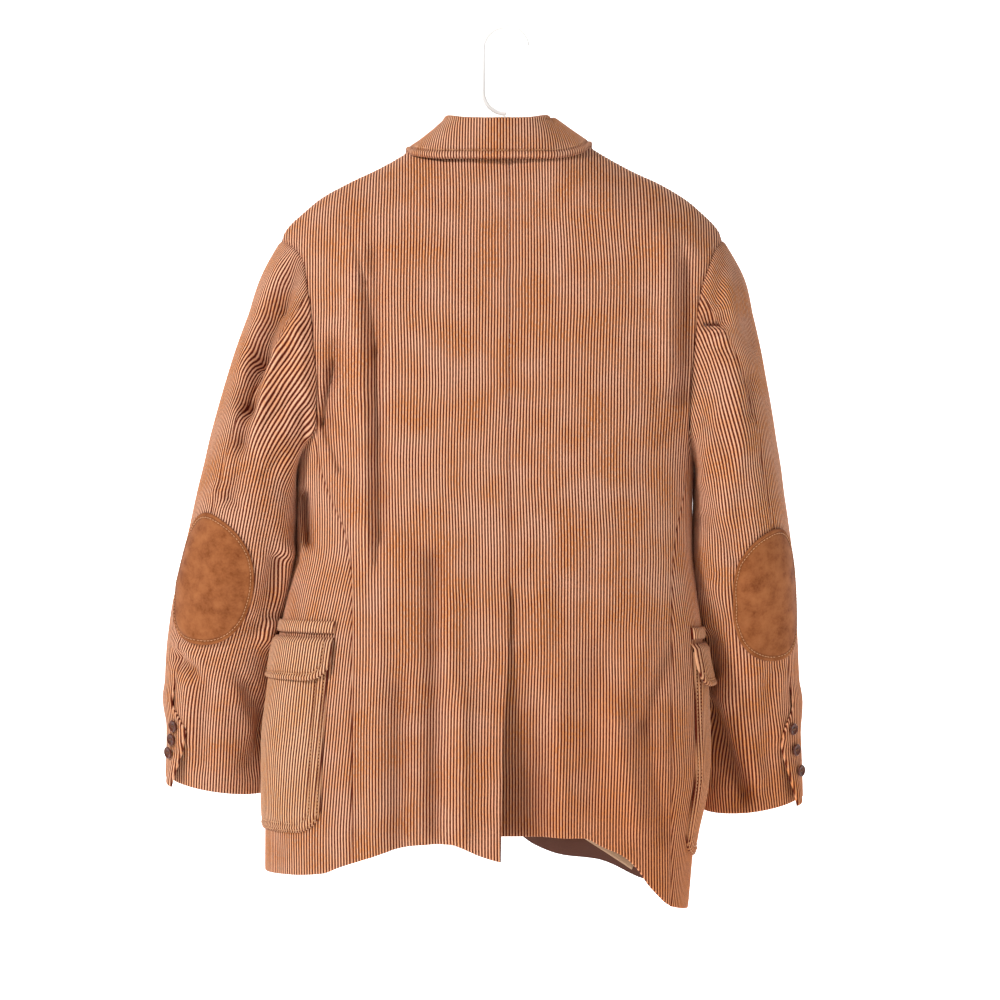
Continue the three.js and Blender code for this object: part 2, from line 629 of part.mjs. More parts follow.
function makeFront(side) {
  const behind = false;
  const neckEdge = rollX(side, -112);
  const topX = side * 240;
  const surface = frontSurface(side);
  const innerX = (z) => lerp(seamX - side * frontLap, rollX(side, z), smooth((z - breakHeight + 14) / 34));
  const edgeTop = armholePoint(side, 360 - sideTop).z;
  const spots = grid(lowerRows + upperRows / 2, frontColumns, (i, j) => {
    const u = j / frontColumns;
    if (i <= lowerRows) {
      const f = i / lowerRows;
      const edgeHemX = seamAt(side, behind, -900);
      const xHem = lerp(edgeHemX, seamX - side * frontLap, u);
      const toEdge = Math.abs(xHem - (seamX - side * frontLap));
      const turn = xHem * side > seamX * side ? angleAt(side, xHem, -900, behind) : Math.PI;
      const rise = toEdge < cutaway ? cutaway - Math.sqrt(cutaway ** 2 - (cutaway - toEdge) ** 2) : 0;
      const z = lerp(hemZ(side, turn) + rise, edgeTop, f);
      const edgeX = seamAt(side, behind, z) - (side * seamGap) / 2;
      const x = lerp(edgeX, innerX(z), u);
      return { p: surface(x, z), n: normalOf(surface, 1, x, z, 1, 2) };
    }
    const row = (i - lowerRows) * 2;
    const edge = armEdge(side, row, behind);
    const share = (edge.p.z - edgeTop) / (armhole.top - edgeTop);
    const zTop = shoulderZ(lerp(topX, neckEdge, u));
    const z = lerp(edgeTop, zTop, share);
    const atTop = row === upperRows;
    if (j === 0) {
      const p = edge.p.clone();
      p.x -= (side * seamGap) / 2;
      if (atTop) p.y -= seamGap / 2;
      return { p, n: edge.n };
    }
    const x = lerp(edge.p.x - (side * seamGap) / 2, innerX(z), u);
    const p = surface(x, z);
    if (atTop) {
      p.y = -seamGap / 2;
      p.z = shoulderZ(x);
      return { p, n: ridgeNormal(x) };
    }
    return { p, n: normalOf(surface, 1, x, Math.min(z, shoulderZ(x) - 3), 1, 1.5) };
  });
  layer(`front_${sideName[side]}`, spots, -cloth, 0, corduroy);
}

function makeSleeve(side) {
  const spotAt = (at, turn, loopTurn) => {
    const p = sleevePoint(side, at, turn);
    if (at > 0) return { p, n: sleeveNormal(side, at, turn) };
    p.x += side * seamGap * 0.5;
    return { p, n: armholeNormals(side, ((loopTurn % 360) + 360) % 360).tube };
  };
  const seamTurn = (seamGap / 2 / 57) / degrees;
  const upperColumns = Math.round((hindRows[0].turn - sleeve.foreSeam) / armStep);
  const upper = grid(ringCount, upperColumns, (i, j) => {
    const at = sleeveAt(i);
    const lap = smooth((at - sleeveRings.rise) / (sleeveRings.lapped - sleeveRings.rise));
    const lapTurn = (sleeve.lap / 50 / degrees) * lap;
    const end = hindTurn(at) - seamTurn + lapTurn;
    const loopTurn = sleeve.foreSeam + j * armStep;
    const spot = spotAt(at, lerp(sleeve.foreSeam + seamTurn, end, j / upperColumns), loopTurn);
    const over = smooth((j - (upperColumns - 4)) / 2) * smooth((at - sleeveRings.until) / (sleeveRings.rise - sleeveRings.until));
    const corner = smooth((at - 0.9) / 0.1) * smooth((j - (upperColumns - 2)) / 2);
    spot.p.addScaledVector(spot.n, sleeve.ventLift * over + sleeve.flare * corner);
    return spot;
  });
  layer(`upper_sleeve_${sideName[side]}`, upper, -cloth, 0, corduroy);

  const underEnd = 360 + sleeve.foreSeam;
  const underColumns = Math.round((underEnd - hindRows[0].turn) / armStep);
  const under = grid(ringCount, underColumns, (i, j) => {
    const at = sleeveAt(i);
    const loopTurn = hindRows[0].turn + j * armStep;
    return spotAt(at, lerp(hindTurn(at) + seamTurn, underEnd - seamTurn, j / underColumns), loopTurn);
  });
  layer(`under_sleeve_${sideName[side]}`, under, -cloth, 0, corduroy);
}

function onSleeve(side, at, turn) {
  return { p: sleevePoint(side, at, turn), n: sleeveNormal(side, at, turn) };
}

// The elbow patch: rounded oval rings round its middle, from points of the sleeve
function makePatch(side) {
  const place = patch[side];
  const rings = 4;
  const spokes = 20;
  const length = 600;
  const girth = 57;
  const spot = (share, k) => {
    const angle = (2 * Math.PI * k) / spokes;
    const c = Math.cos(angle);
    const s = Math.sin(angle);
    const oval = (Math.abs(c) ** 2.5 + Math.abs(s) ** 2.5) ** (-1 / 2.5);
    const along = share * oval * c * patch.halfAlong;
    const across = share * oval * s * patch.halfAcross;
    return onSleeve(side, place.at + along / length, place.turn + (across / girth) / degrees);
  };
  const positions = [];
  const add = (s, height) => {
    const p = s.p.clone().addScaledVector(s.n, height);
    positions.push(p.x, p.y, p.z);
  };
  const heights = [patch.lift + suede, patch.lift];
  for (const height of heights) {
    add(spot(0, 0), height);
    for (let r = 1; r <= rings; r += 1) {
      for (let k = 0; k < spokes; k += 1) add(spot(r / rings, k), height);
    }
  }
  const faceSize = 1 + rings * spokes;
  const id = (face, r, k) => face * faceSize + (r === 0 ? 0 : 1 + (r - 1) * spokes + (k % spokes));
  const faces = [];
  const tri = (face, a, b, c) => (face === 0 ? faces.push(a, b, c) : faces.push(a, c, b));
  for (const face of [0, 1]) {
    for (let k = 0; k < spokes; k += 1) {
      tri(face, id(face, 0, 0), id(face, 1, k), id(face, 1, k + 1));
      for (let r = 1; r < rings; r += 1) {
        tri(face, id(face, r, k), id(face, r + 1, k), id(face, r + 1, k + 1));
        tri(face, id(face, r, k), id(face, r + 1, k + 1), id(face, r, k + 1));
      }
    }
  }
  for (let k = 0; k < spokes; k += 1) {
    const a = id(0, rings, k);
    const b = id(0, rings, k + 1);
    const c = id(1, rings, k + 1);
    const d = id(1, rings, k);
    faces.push(a, d, c, a, c, b);
  }
  const centre = spot(0, 0);
  const e1 = spot(0.2, 0).p.sub(centre.p);
  const e2 = spot(0.2, 5).p.sub(centre.p);
  if (e1.cross(e2).dot(centre.n) < 0) faces.reverse();
  const geometry = new THREE.BufferGeometry();
  geometry.setAttribute('position', new THREE.Float32BufferAttribute(positions, 3));
  geometry.setIndex(faces);
  geometry.computeVertexNormals();
  addMesh(`elbow_patch_${sideName[side]}`, geometry, suedeBrown);
}

function makePocket(side) {
  const place = pocket[side];
  const rows = 7;
  const columns = 14;
  const surface = (angle, z) => torsoPoint(side, angle, z);
  const spotAt = (u, z, stretch) => {
    const middle = (place.from + place.to) / 2;
    const half = ((place.to - place.from) / 2) * stretch;
    const angle = (middle + half * (2 * u - 1)) * degrees;
    return { p: surface(angle, z), n: normalOf(surface, -side, angle, z, 0.01, 1) };
  };
  const wide = 190;
  const bottomAt = (u) => {
    const toEdge = Math.min(u, 1 - u) * wide;
    const k = pocket.corner;
    return place.bottom + (toEdge < k ? k - Math.sqrt(k * k - (k - toEdge) ** 2) : 0);
  };
  const spread = (j) => lerp(j / columns, (1 - Math.cos((Math.PI * j) / columns)) / 2, 0.35);
  const bag = grid(rows, columns, (i, j) => spotAt(spread(j), lerp(bottomAt(spread(j)), place.top, i / rows), 1));
  const swell = (i, j) => pocket.bulge * Math.sin((Math.PI * i) / rows) * Math.sin(Math.PI * spread(j));
  const low = (i, j) => lift + swell(i, j);
  layer(`pocket_${sideName[side]}`, bag, low, (i, j) => low(i, j) + pocket.thick, cordTrim);

  const flapShares = [0, 0.45, 0.86, 1];
  const flapRows = flapShares.length - 1;
  const flapTop = place.top + flap.rise;
  const lid = grid(flapRows, columns, (i, j) => {
    const u = spread(j);
    const toEdge = Math.min(u, 1 - u) * wide;
    const k = pocket.corner * 0.8;
    const rise = toEdge < k ? k - Math.sqrt(k * k - (k - toEdge) ** 2) : 0;
    return spotAt(u, lerp(flapTop - flap.height + rise, flapTop, flapShares[i]), 1.03);
  });
  const over = (i, j) => {
    const stand = lift + pocket.thick + 1.1 + flap.overhang * (1 - flapShares[i]);
    return i === flapRows ? lift : stand;
  };
  layer(`pocket_flap_${sideName[side]}`, lid, over, (i, j) => over(i, j) + flap.thick, cordTrim);

  const strip = grid(1, columns, (i, j) => spotAt(spread(j), flapTop + band.above - band.height * (1 - i), 1.02));
  layer(`flap_band_${sideName[side]}`, strip, lift, lift + band.thick, cordTrim);
}

function makeButton(name, spot, size) {
  const r = size.radius;
  const t = size.thick;
  const outline = [
    [0, 0],
    [r * 0.55, 0],
    [r * 0.62, t * 0.25],
    [r * 0.96, t * 0.45],
    [r, t * 0.7],
    [r * 0.8, t],
    [0, t * 0.92],
  ].map(([x, y]) => new THREE.Vector2(x, y));
  const geometry = new THREE.LatheGeometry(outline, 14);
  const mesh = addMesh(name, geometry, buttonBrown);
  mesh.quaternion.setFromUnitVectors(vector(0, 1, 0), spot.n);
  mesh.position.copy(spot.p.clone().addScaledVector(spot.n, size.above));
}

function makeCuffButtons(side) {
  const place = cuffButtonPlaces[side];
  for (let k = 0; k < cuffButton.count; k += 1) {
    const at = place.from + k * place.step;
    const turn = hindTurn(at) + 9;
    const spot = onSleeve(side, at, turn);
    const flare = sleeve.flare * smooth((at - 0.9) / 0.1) * 0.6;
    makeButton(`cuff_button_${sideName[side]}_${k + 1}`, spot, { ...cuffButton, above: sleeve.ventLift + 0.5 + flare });
  }
}

function makeFrontButtons() {
  const surface = frontSurface(left);
  frontButton.heights.forEach((z, k) => {
    const spot = { p: surface(seamX, z), n: normalOf(surface, 1, seamX, z, 1, 2) };
    makeButton(`front_button_${k + 1}`, spot, { ...frontButton, above: 0.8 });
  });
}

function makeLapel(side) {
  const surface = frontSurface(side);
  const spots = grid(lapel.rows, lapel.columns, (i, j) => {
    const along = i / lapel.rows;
    const u = j / lapel.columns;
    const zIn = lerp(breakHeight + 6, gorge.z, along);
    const xIn = rollX(side, zIn) + side * 1.5;
    const xOut = side * read(lapelRows, 'along', along, 'x') + neckX;
    const zOut = read(lapelRows, 'along', along, 'z');
    const x = lerp(xIn, xOut, u);
    const z = lerp(zIn, zOut, u);
    return { p: surface(x, z), n: normalOf(surface, 1, x, z, 1, 2) };
  });
  const low = (i, j) => lift + lapel.rise * Math.sin(Math.PI * Math.min(1, 0.15 + j / lapel.columns));
  layer(`lapel_${sideName[side]}`, spots, low, (i, j) => low(i, j) + cloth, corduroy);
}

// The collar: its stand rises from the neck inside, rolls over and falls outside
function makeCollar() {
  const outer = [];
  const last = collarRows[collarRows.length - 1].turn;
  for (let k = 0; k <= collar.stations; k += 1) {
    const turn = lerp(-last, last, k / collar.stations);
    const side = turn < 0 ? right : left;
    const value = (column) => read(collarRows, 'turn', Math.abs(turn), column);
    const place = (name) => vector(neckX + side * value(`${name}X`), value(`${name}Y`), value(`${name}Z`));
    const roll = place('roll');
    const edge = place('edge');
    const foot = place('foot');
    const fall = edge.clone().sub(roll);
    const inward = vector(neckX, 0, roll.z).sub(roll).setZ(0).normalize();
    if (roll.y < -20) inward.copy(vector(-side, 0.3, 0)).normalize();
    const r = collar.rollRadius;
    const points = [];
    for (let i = collar.fall; i >= 1; i -= 1) {
      const t = i / collar.fall;
      const p = roll.clone().addScaledVector(fall, t);
      p.addScaledVector(inward, -collar.bow * Math.sin(Math.PI * t));
      points.push(clearOfTorso(p, collar.clear));
    }
    const crest = roll.clone().addScaledVector(inward, r);
    for (let a = 0; a <= 4; a += 1) {
      const angle = (Math.PI * a) / 4;
      const p = crest.clone().addScaledVector(inward, -r * Math.cos(angle));
      p.z += r * Math.sin(angle);
      points.push(p);
    }
    const standTop = crest.clone().addScaledVector(inward, r);
    const standFoot = foot.clone().addScaledVector(inward, 2 * r - 1);
    for (let i = 1; i <= collar.stand; i += 1) points.push(standTop.clone().lerp(standFoot, i / collar.stand));
    outer.push(points);
  }
  const spots = outer.map((row, i) =>
    row.map((p, j) => {
      const a = outer[Math.min(i + 1, outer.length - 1)][j].clone().sub(outer[Math.max(i - 1, 0)][j]);
      const b = row[Math.min(j + 1, row.length - 1)].clone().sub(row[Math.max(j - 1, 0)]);
      return { p, n: b.cross(a).normalize() };
    }),
  );
  layer('collar', spots, -collar.thick, 0, corduroy);
}

function rodSection(radius, sides) {
  const shape = new THREE.Shape();
  for (let k = 0; k < sides; k += 1) {
    const angle = (2 * Math.PI * k) / sides;
    const x = radius * Math.cos(angle);
    const y = radius * Math.sin(angle);
    if (k === 0) shape.moveTo(x, y);
    else shape.lineTo(x, y);
  }
  return shape;
}

function makeHanger() {
  const points = [];
  for (let k = 0; k <= 9; k += 1) {
    const angle = (-90 + k * 10) * degrees;
    points.push(vector(hook.x + hook.bend * Math.cos(angle), 0, hook.lowerZ + hook.bend * Math.sin(angle)));
  }
  points.push(vector(hook.x + hook.bend, 0, (hook.lowerZ + hook.upperZ) / 2));
  const turns = 14;
  for (let k = 0; k <= turns; k += 1) {
    const angle = (hook.tipTurn * k * degrees) / turns;
    points.push(vector(hook.x + hook.bend * Math.cos(angle), 0, hook.upperZ + hook.bend * Math.sin(angle)));
  }
  const path = new THREE.CatmullRomCurve3(points);
  const rod = new THREE.ExtrudeGeometry(rodSection(hook.rod / 2, 10), {
    steps: hook.steps,
    extrudePath: path,
    bevelEnabled: false,
  });
  addMesh('hanger_hook', rod, whitePlastic);

  const neckHeight = hangerNeck.top - hangerNeck.bottom;
  const neck = new THREE.CylinderGeometry(hangerNeck.radius, hangerNeck.radius, neckHeight, 20);
  neck.rotateX(Math.PI / 2);
  const neckMesh = addMesh('hanger_neck', neck, whitePlastic);
  neckMesh.position.set(hook.x, 0, (hangerNeck.top + hangerNeck.bottom) / 2);

  const sides = 10;
  const spots = grid(hangerArm.steps, sides - 1, (i, j) => {
    const x = lerp(-hangerArm.reach, hangerArm.reach, i / hangerArm.steps);
    const top = Math.min(hangerArm.centreTop, shoulderZ(x) - hangerArm.below);
    const angle = (2 * Math.PI * j) / sides;
    const y = (hangerArm.deep / 2) * Math.cos(angle);
    return vector(x, y, top - (hangerArm.high / 2) * (1 - Math.sin(angle)));
  });
  const positions = spots.flat().flatMap((p) => [p.x, p.y, p.z]);
  const ends = [spots[0], spots[hangerArm.steps]].map((ring) => {
    const centre = ring.reduce((sum, p) => sum.add(p), vector(0, 0, 0)).multiplyScalar(1 / sides);
    positions.push(centre.x, centre.y, centre.z);
    return positions.length / 3 - 1;
  });
  const id = (i, j) => i * sides + (j % sides);
  const faces = [];
  for (let i = 0; i < hangerArm.steps; i += 1) {
    for (let j = 0; j < sides; j += 1) {
      faces.push(id(i, j), id(i, j + 1), id(i + 1, j + 1), id(i, j), id(i + 1, j + 1), id(i + 1, j));
    }
  }
  for (let j = 0; j < sides; j += 1) {
    faces.push(ends[0], id(0, j + 1), id(0, j));
    faces.push(ends[1], id(hangerArm.steps, j), id(hangerArm.steps, j + 1));
  }
  const arms = new THREE.BufferGeometry();
  arms.setAttribute('position', new THREE.Float32BufferAttribute(positions, 3));
  arms.setIndex(faces);
  arms.computeVertexNormals();
  addMesh('hanger_arms', arms, whitePlastic);
}

for (const side of [left, right]) {
  makeBack(side);
  makeSide(side);
  makeFront(side);
  makeLapel(side);
  makeSleeve(side);
  makePatch(side);
  makePocket(side);
  makeCuffButtons(side);
}
makeCollar();
makeFrontButtons();
makeHanger();

export default jacket;
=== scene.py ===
import bpy
import math
import numpy as np
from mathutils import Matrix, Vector


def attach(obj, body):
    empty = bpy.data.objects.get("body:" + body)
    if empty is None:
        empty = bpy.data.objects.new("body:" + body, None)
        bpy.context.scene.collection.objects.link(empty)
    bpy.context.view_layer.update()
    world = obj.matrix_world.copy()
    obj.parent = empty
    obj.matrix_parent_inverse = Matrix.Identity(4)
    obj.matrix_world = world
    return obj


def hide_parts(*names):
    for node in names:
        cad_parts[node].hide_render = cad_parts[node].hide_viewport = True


# A tan corduroy jacket on a white plastic hanger, seen from behind. Lengths are in millimetres up to addMesh,
# and left is the wearer's left, +x. The back of the jacket faces +y.

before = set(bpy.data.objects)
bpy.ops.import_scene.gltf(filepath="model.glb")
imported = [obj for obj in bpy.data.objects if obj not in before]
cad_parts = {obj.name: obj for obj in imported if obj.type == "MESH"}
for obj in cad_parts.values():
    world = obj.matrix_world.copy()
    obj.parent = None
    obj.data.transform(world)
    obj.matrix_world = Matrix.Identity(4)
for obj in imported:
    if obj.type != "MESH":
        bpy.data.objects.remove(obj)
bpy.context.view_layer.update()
print("frame loaded:", len(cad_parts), "nodes")

left = 1
right = -1
sideName = {left: "left", right: "right"}
millimetre = 0.001

# Camera

view = {"x": 4, "y": 2800, "z": -510, "lens": 93.1, "sensor": 36}


def makeCamera():
    data = bpy.data.cameras.new("camera")
    data.lens = view["lens"]
    data.sensor_width = view["sensor"]
    data.clip_start = 0.1
    data.clip_end = 30
    camera = bpy.data.objects.new("camera", data)
    bpy.context.scene.collection.objects.link(camera)
    camera.location = Vector((view["x"], view["y"], view["z"])) * millimetre
    camera.rotation_euler = (math.radians(90), 0, math.radians(180))
    bpy.context.scene.camera = camera


makeCamera()

# Small tools


def smooth(value):
    t = np.clip(value, 0, 1)
    return t * t * (3 - 2 * t)


def lerp(a, b, t):
    return a + (b - a) * t


def unit(v):
    return v / np.maximum(np.linalg.norm(v, axis=-1, keepdims=True), 1e-9)


def read(table, key, at, column):  # a column of a table on a smooth curve with no overshoot
    keys = np.array(table[key], float)
    values = np.array(table[column], float)
    slopes = np.diff(values) / np.diff(keys)
    total = slopes[:-1] + slopes[1:]
    bends = slopes[:-1] * slopes[1:]
    middle = np.where(bends > 0, 2 * bends / np.where(bends > 0, total, 1), 0)
    tangents = np.concatenate([slopes[:1], middle, slopes[-1:]])
    at = np.clip(np.asarray(at, float), keys[0], keys[-1])
    i = np.clip(np.searchsorted(keys, at, side="right") - 1, 0, len(keys) - 2)
    step = keys[i + 1] - keys[i]
    t = (at - keys[i]) / step
    t2 = t * t
    t3 = t2 * t
    return (
        values[i] * (2 * t3 - 3 * t2 + 1)
        + values[i + 1] * (3 * t2 - 2 * t3)
        + step * (tangents[i] * (t3 - 2 * t2 + t) + tangents[i + 1] * (t3 - t2))
    )


def table(names, *rows):
    return {name: [row[k] for row in rows] for k, name in enumerate(names.split())}


def waviness(x, z, size, seed):  # smooth uneven heights from -1 to 1, about size apart
    grid = np.random.default_rng(seed).uniform(-1, 1, (64, 64))
    a, b = np.asarray(x) / size + 900, np.asarray(z) / size + 900
    i, j = np.floor(a).astype(int), np.floor(b).astype(int)
    s, t = smooth(a - i), smooth(b - j)
    low = lerp(grid[i % 64, j % 64], grid[(i + 1) % 64, j % 64], s)
    high = lerp(grid[i % 64, (j + 1) % 64], grid[(i + 1) % 64, (j + 1) % 64], s)
    return lerp(low, high, t)


def foldHeight(folds, x, z):  # ridges and troughs along lines, fading past their ends
    total = np.zeros(np.broadcast(x, z).shape)
    for x1, z1, x2, z2, wide, high in folds:
        dx, dz = x2 - x1, z2 - z1
        t = np.clip(((x - x1) * dx + (z - z1) * dz) / (dx * dx + dz * dz), 0, 1)
        away = np.hypot(x - x1 - t * dx, z - z1 - t * dz) / wide
        total += high * np.exp(-away * away)
    return total


# Cloth

cloth = {
    "wall": 2,
    "seamGap": 0.02,
    "lift": 1.2,  # air under a piece that lies on a panel
    "wale": 3.175,  # eight wales to the inch
    "waleHigh": 0.75,
    "seamDip": 0.7,
    "sway": 2.6,  # how far ribs wander from straight lines, and over what distance
    "swayWide": 95,
    "ripple": 0.35,
    "rippleWide": 26,
    "seamPress": 0.45,
    "seamWide": 2.2,
    "hemSteps": [0, 0.3, 0.8, 1.6],  # mm above a hem, where its edge rounds over
}

# Torso

torso = {"seamX": -6, "squareness": 2.6, "shoulderRound": 70, "sideTop": 135, "ventTop": -655, "underlap": 42,
         "frontLap": 18, "breakHeight": -560, "cutaway": 90, "neckX": 7, "neckHalf": 74}
torsoRows = table(
    "z left right back front",
    (-953, 263, 192, 100, 102),
    (-867, 263, 200, 99, 101),
    (-792, 261, 211, 97, 100),
    (-716, 255, 210, 95, 99),
    (-660, 249, 208, 94, 98),
    (-610, 239, 202, 93, 98),
    (-557, 229, 197, 92, 97),
    (-467, 228, 198, 92, 95),
    (-434, 233, 204, 91, 93),
    (-380, 245, 218, 90, 90),
    (-300, 262, 240, 87, 82),
    (-232, 275, 258, 80, 70),
    (-100, 275, 262, 52, 44),
)
shoulderRows = table("x z", (0, -60), (60, -105), (80, -119), (111, -139), (137, -153), (170, -169), (198, -185),
                     (217, -201), (234, -218), (241, -231))
armholeRows = table("z left right", (-434, 199, 198), (-391, 198, 199), (-341, 202, 203), (-308, 204, 206),
                    (-284, 208, 210), (-262, 211, 218), (-245, 220, 224), (-231, 240, 236))
armhole = {"top": -231, "bottom": -467, "scoop": 8}
hemRows = table("turn left right", (0, -889, -864), (4, -881, -864), (9, -870, -864), (17, -872, -864),
                (24, -880, -874), (31, -889, -883), (37, -896, -896), (44, -904, -918), (57, -907, -940),
                (90, -908, -949), (137, -898, -930), (157, -889, -911), (180, -884, -906))
seamRows = table("z backLeft backRight frontLeft frontRight", (-953, 159, -177, 184, -165),
                 (-600, 160, -178, 187, -176), (-557, 165, -182, 190, -180), (-500, 178, -189, 193, -185),
                 (-434, 199, -198, 193, -192))
ventRows = table("z edge", (-953, 4), (-780, 1), (-655, -6))
rollRows = table("z x", (-560, 0), (-400, 27), (-250, 53), (-160, 66), (-112, 72))

# Creases as x1, z1, x2, z2, width and height, where a height under 0 is a trough
backFolds = [
    (158, -235, 145, -560, 13, 6),
    (136, -250, 129, -550, 9, -6),
    (-172, -240, -174, -370, 13, 5),
    (-190, -260, -188, -400, 10, -7),
    (178, -345, 184, -428, 10, -7),
    (74, -570, 73, -850, 15, -6),
    (44, -710, 46, -860, 15, 6),
    (109, -690, 110, -860, 18, -4),
    (-150, -650, -116, -730, 17, 5),
    (-116, -730, -142, -850, 17, 5),
]
frontFolds = [
    (150, -300, 140, -520, 16, -6),
    (-148, -290, -138, -500, 16, -6),
    (80, -600, 92, -840, 20, 5),
    (-84, -620, -76, -860, 20, 5),
]
backCreases = [
    (162, -219, 147, -279, 5, -3), (147, -279, 137, -353, 5, -4.5), (137, -353, 134, -578, 5, -4.5),
    (159, -300, 147, -426, 9, 2.5), (147, -426, 145, -573, 8, 2.5), (180, -365, 193, -427, 4, -6),
    (193, -427, 173, -478, 4, -6), (172, -384, 178, -430, 6, 3), (183, -458, 159, -510, 8, 3),
    (178, -437, 155, -460, 4, 1.8), (174, -479, 138, -495, 5, -2), (167, -510, 143, -542, 8, 2),
    (-187, -248, -189, -405, 6, -3), (-180, -259, -176, -384, 8, 2), (72, -573, 71, -877, 8, -4),
    (59, -615, 57, -866, 10, 3), (44, -720, 43, -869, 8, 4), (109, -709, 111, -887, 9, -4),
    (132, -657, 134, -898, 12, 3), (-153, -657, -119, -741, 11, 4), (-119, -741, -142, -856, 11, 4),
    (-172, -667, -145, -746, 9, -5), (-145, -746, -168, -861, 9, -5), (-100, -667, -90, -825, 14, -4),
    (-59, -678, -54, -856, 12, 4), (213, -506, 208, -556, 6, -20), (217, -601, 217, -638, 8, -4),
    (186, -372, 158, -402, 5, -2.4), (190, -420, 160, -436, 5, -2.4), (120, -500, 90, -560, 12, -2),
    (-186, -392, -160, -410, 5, -2.2), (-190, -425, -165, -450, 6, -2.4), (-150, -470, -120, -540, 13, -2),
    (-96, -560, -80, -640, 12, -2), (-60, -600, -52, -700, 10, -2), (30, -560, 34, -700, 11, -2),
    (-40, -155, 60, -158, 9, -1.5), (-30, -170, 70, -172, 8, 1),
]
frontCreases = [
    (170, -360, 130, -430, 8, -2),
    (-168, -350, -126, -420, 8, -2),
    (120, -540, 60, -600, 12, -2),
    (-118, -545, -62, -610, 12, -2),
]


def shoulderZ(x):
    return read(shoulderRows, "x", np.abs(x) * np.where(x < 0, 1.015, 1), "z")


def halfWidth(side, z):
    return np.where(np.asarray(side) > 0, read(torsoRows, "z", z, "left"), read(torsoRows, "z", z, "right"))


def rounding(x, z):
    q = (shoulderZ(x) - z) / torso["shoulderRound"]
    return np.where(q >= 1, 1, np.sqrt(np.maximum(0, 1 - (1 - q) ** 2)))


def torsoPoint(side, angle, z, fine=0):
    power = 2 / torso["squareness"]
    c = np.cos(angle)
    x = torso["seamX"] + side * halfWidth(side, z) * np.abs(np.sin(angle)) ** power
    depth = np.where(c > 0, read(torsoRows, "z", z, "back"), -read(torsoRows, "z", z, "front"))
    share = np.abs(c) ** power
    fold = np.where(c > 0, foldHeight(backFolds, x, z), foldHeight(frontFolds, x, z))
    if fine:
        fold += np.where(c > 0, foldHeight(backCreases, x, z), foldHeight(frontCreases, x, z))
    fold = fold * smooth(share / 0.5) * np.sign(c)
    return np.stack([x, (depth * share + fold) * rounding(x, z), z + 0 * x], -1)


def angleAt(side, x, z, behind):
    share = np.clip(np.abs(x - torso["seamX"]) / halfWidth(side, z), 0, 1)
    angle = np.arcsin(share ** (torso["squareness"] / 2))
    return np.where(behind, angle, np.pi - angle)


def onTorso(x, z, behind, fine=0):
    side = np.where(x < torso["seamX"], right, left)
    return torsoPoint(side, angleAt(side, x, z, behind), z, fine)


def normalOf(surface, sign, a, b, da, db):  # sign is -1 for the back by x and the left half by its angle
    return sign * unit(np.cross(surface(a + da, b) - surface(a - da, b), surface(a, b + db) - surface(a, b - db)))


def armholeAngle(side, turn):
    drop = armhole["top"] - armhole["bottom"]
    z = armhole["bottom"] + drop * (1 + np.cos(np.radians(turn))) / 2
    behind = turn <= 180
    fold = np.where(behind, turn, 360 - turn)
    at = np.minimum(fold, torso["sideTop"])
    seamZ = armhole["bottom"] + drop * (1 + np.cos(np.radians(at))) / 2
    scoop = np.where(behind, 0, armhole["scoop"] * np.sin(np.radians(at)))
    x = side * (read(armholeRows, "z", seamZ, sideName[side]) - scoop)
    edge = angleAt(side, x, seamZ, behind)
    share = np.clip((fold - torso["sideTop"]) / (180 - torso["sideTop"]), 0, 1)
    return lerp(edge, np.pi / 2, share), z


def armholePoint(side, turn, fine=0):
    angle, z = armholeAngle(side, np.asarray(turn, float))
    return torsoPoint(side, angle, z, fine)


def neckline(x):
    share = np.clip(np.abs(x - torso["neckX"]) / torso["neckHalf"], 0, 1)
    return -137 + 22 * share ** 2.2


def seamAt(side, behind, z):  # x of the seam between the side panel and the back or front
    key = ("back" if behind else "front") + ("Left" if side == left else "Right")
    corner = armholePoint(side, torso["sideTop"] if behind else 360 - torso["sideTop"])
    return lerp(corner[0], read(seamRows, "z", z, key), smooth((corner[2] - z) / 120))


def hemZ(side, angle):
    return read(hemRows, "turn", np.degrees(angle), sideName[side])


def rollX(side, z):
    return side * read(rollRows, "z", z, "x") + torso["neckX"] * smooth((z + 560) / 400)


# Meshes


def weave(u):  # rounded ribs with narrow grooves
    return cloth["waleHigh"] * (1 - np.abs(2 * (u % 1) - 1) ** 3)


def shellFaces(rows, columns, coarse, ring):  # triangles of an outer grid, an inner one of fewer columns and rims
    outer = np.arange(rows * columns).reshape(rows, columns)
    inner = rows * columns + np.arange(rows * len(coarse)).reshape(rows, len(coarse))

    def quads(a, b, c, d):
        a, b, c, d = (np.ravel(x) for x in (a, b, c, d))
        return np.concatenate([np.stack([a, b, c], 1), np.stack([a, c, d], 1)])

    face = quads(outer[:-1, :-1], outer[:-1, 1:], outer[1:, 1:], outer[1:, :-1])
    back = quads(inner[:-1, :-1], inner[1:, :-1], inner[1:, 1:], inner[:-1, 1:])
    rims = [quads(outer[:-1, 0], outer[1:, 0], inner[1:, 0], inner[:-1, 0]),
            quads(outer[1:, -1], outer[:-1, -1], inner[:-1, -1], inner[1:, -1])] if not ring else []
    owner = np.clip(np.searchsorted(coarse, np.arange(columns - 1) + 0.5) - 1, 0, len(coarse) - 2)
    middle = (coarse[:-1] + coarse[1:] + 1) // 2
    near = owner + (np.arange(columns - 1) >= middle[owner])
    for row, flip in ((0, 1), (-1, 0)):
        dense = np.stack([outer[row, :-1], outer[row, 1:], inner[row][near]], 1)
        wide = np.stack([inner[row, 1:], inner[row, :-1], outer[row][middle]], 1)
        both = np.concatenate([dense, wide])
        rims.append(both[:, [1, 0, 2]] if flip else both)
    return face, back, np.concatenate(rims)


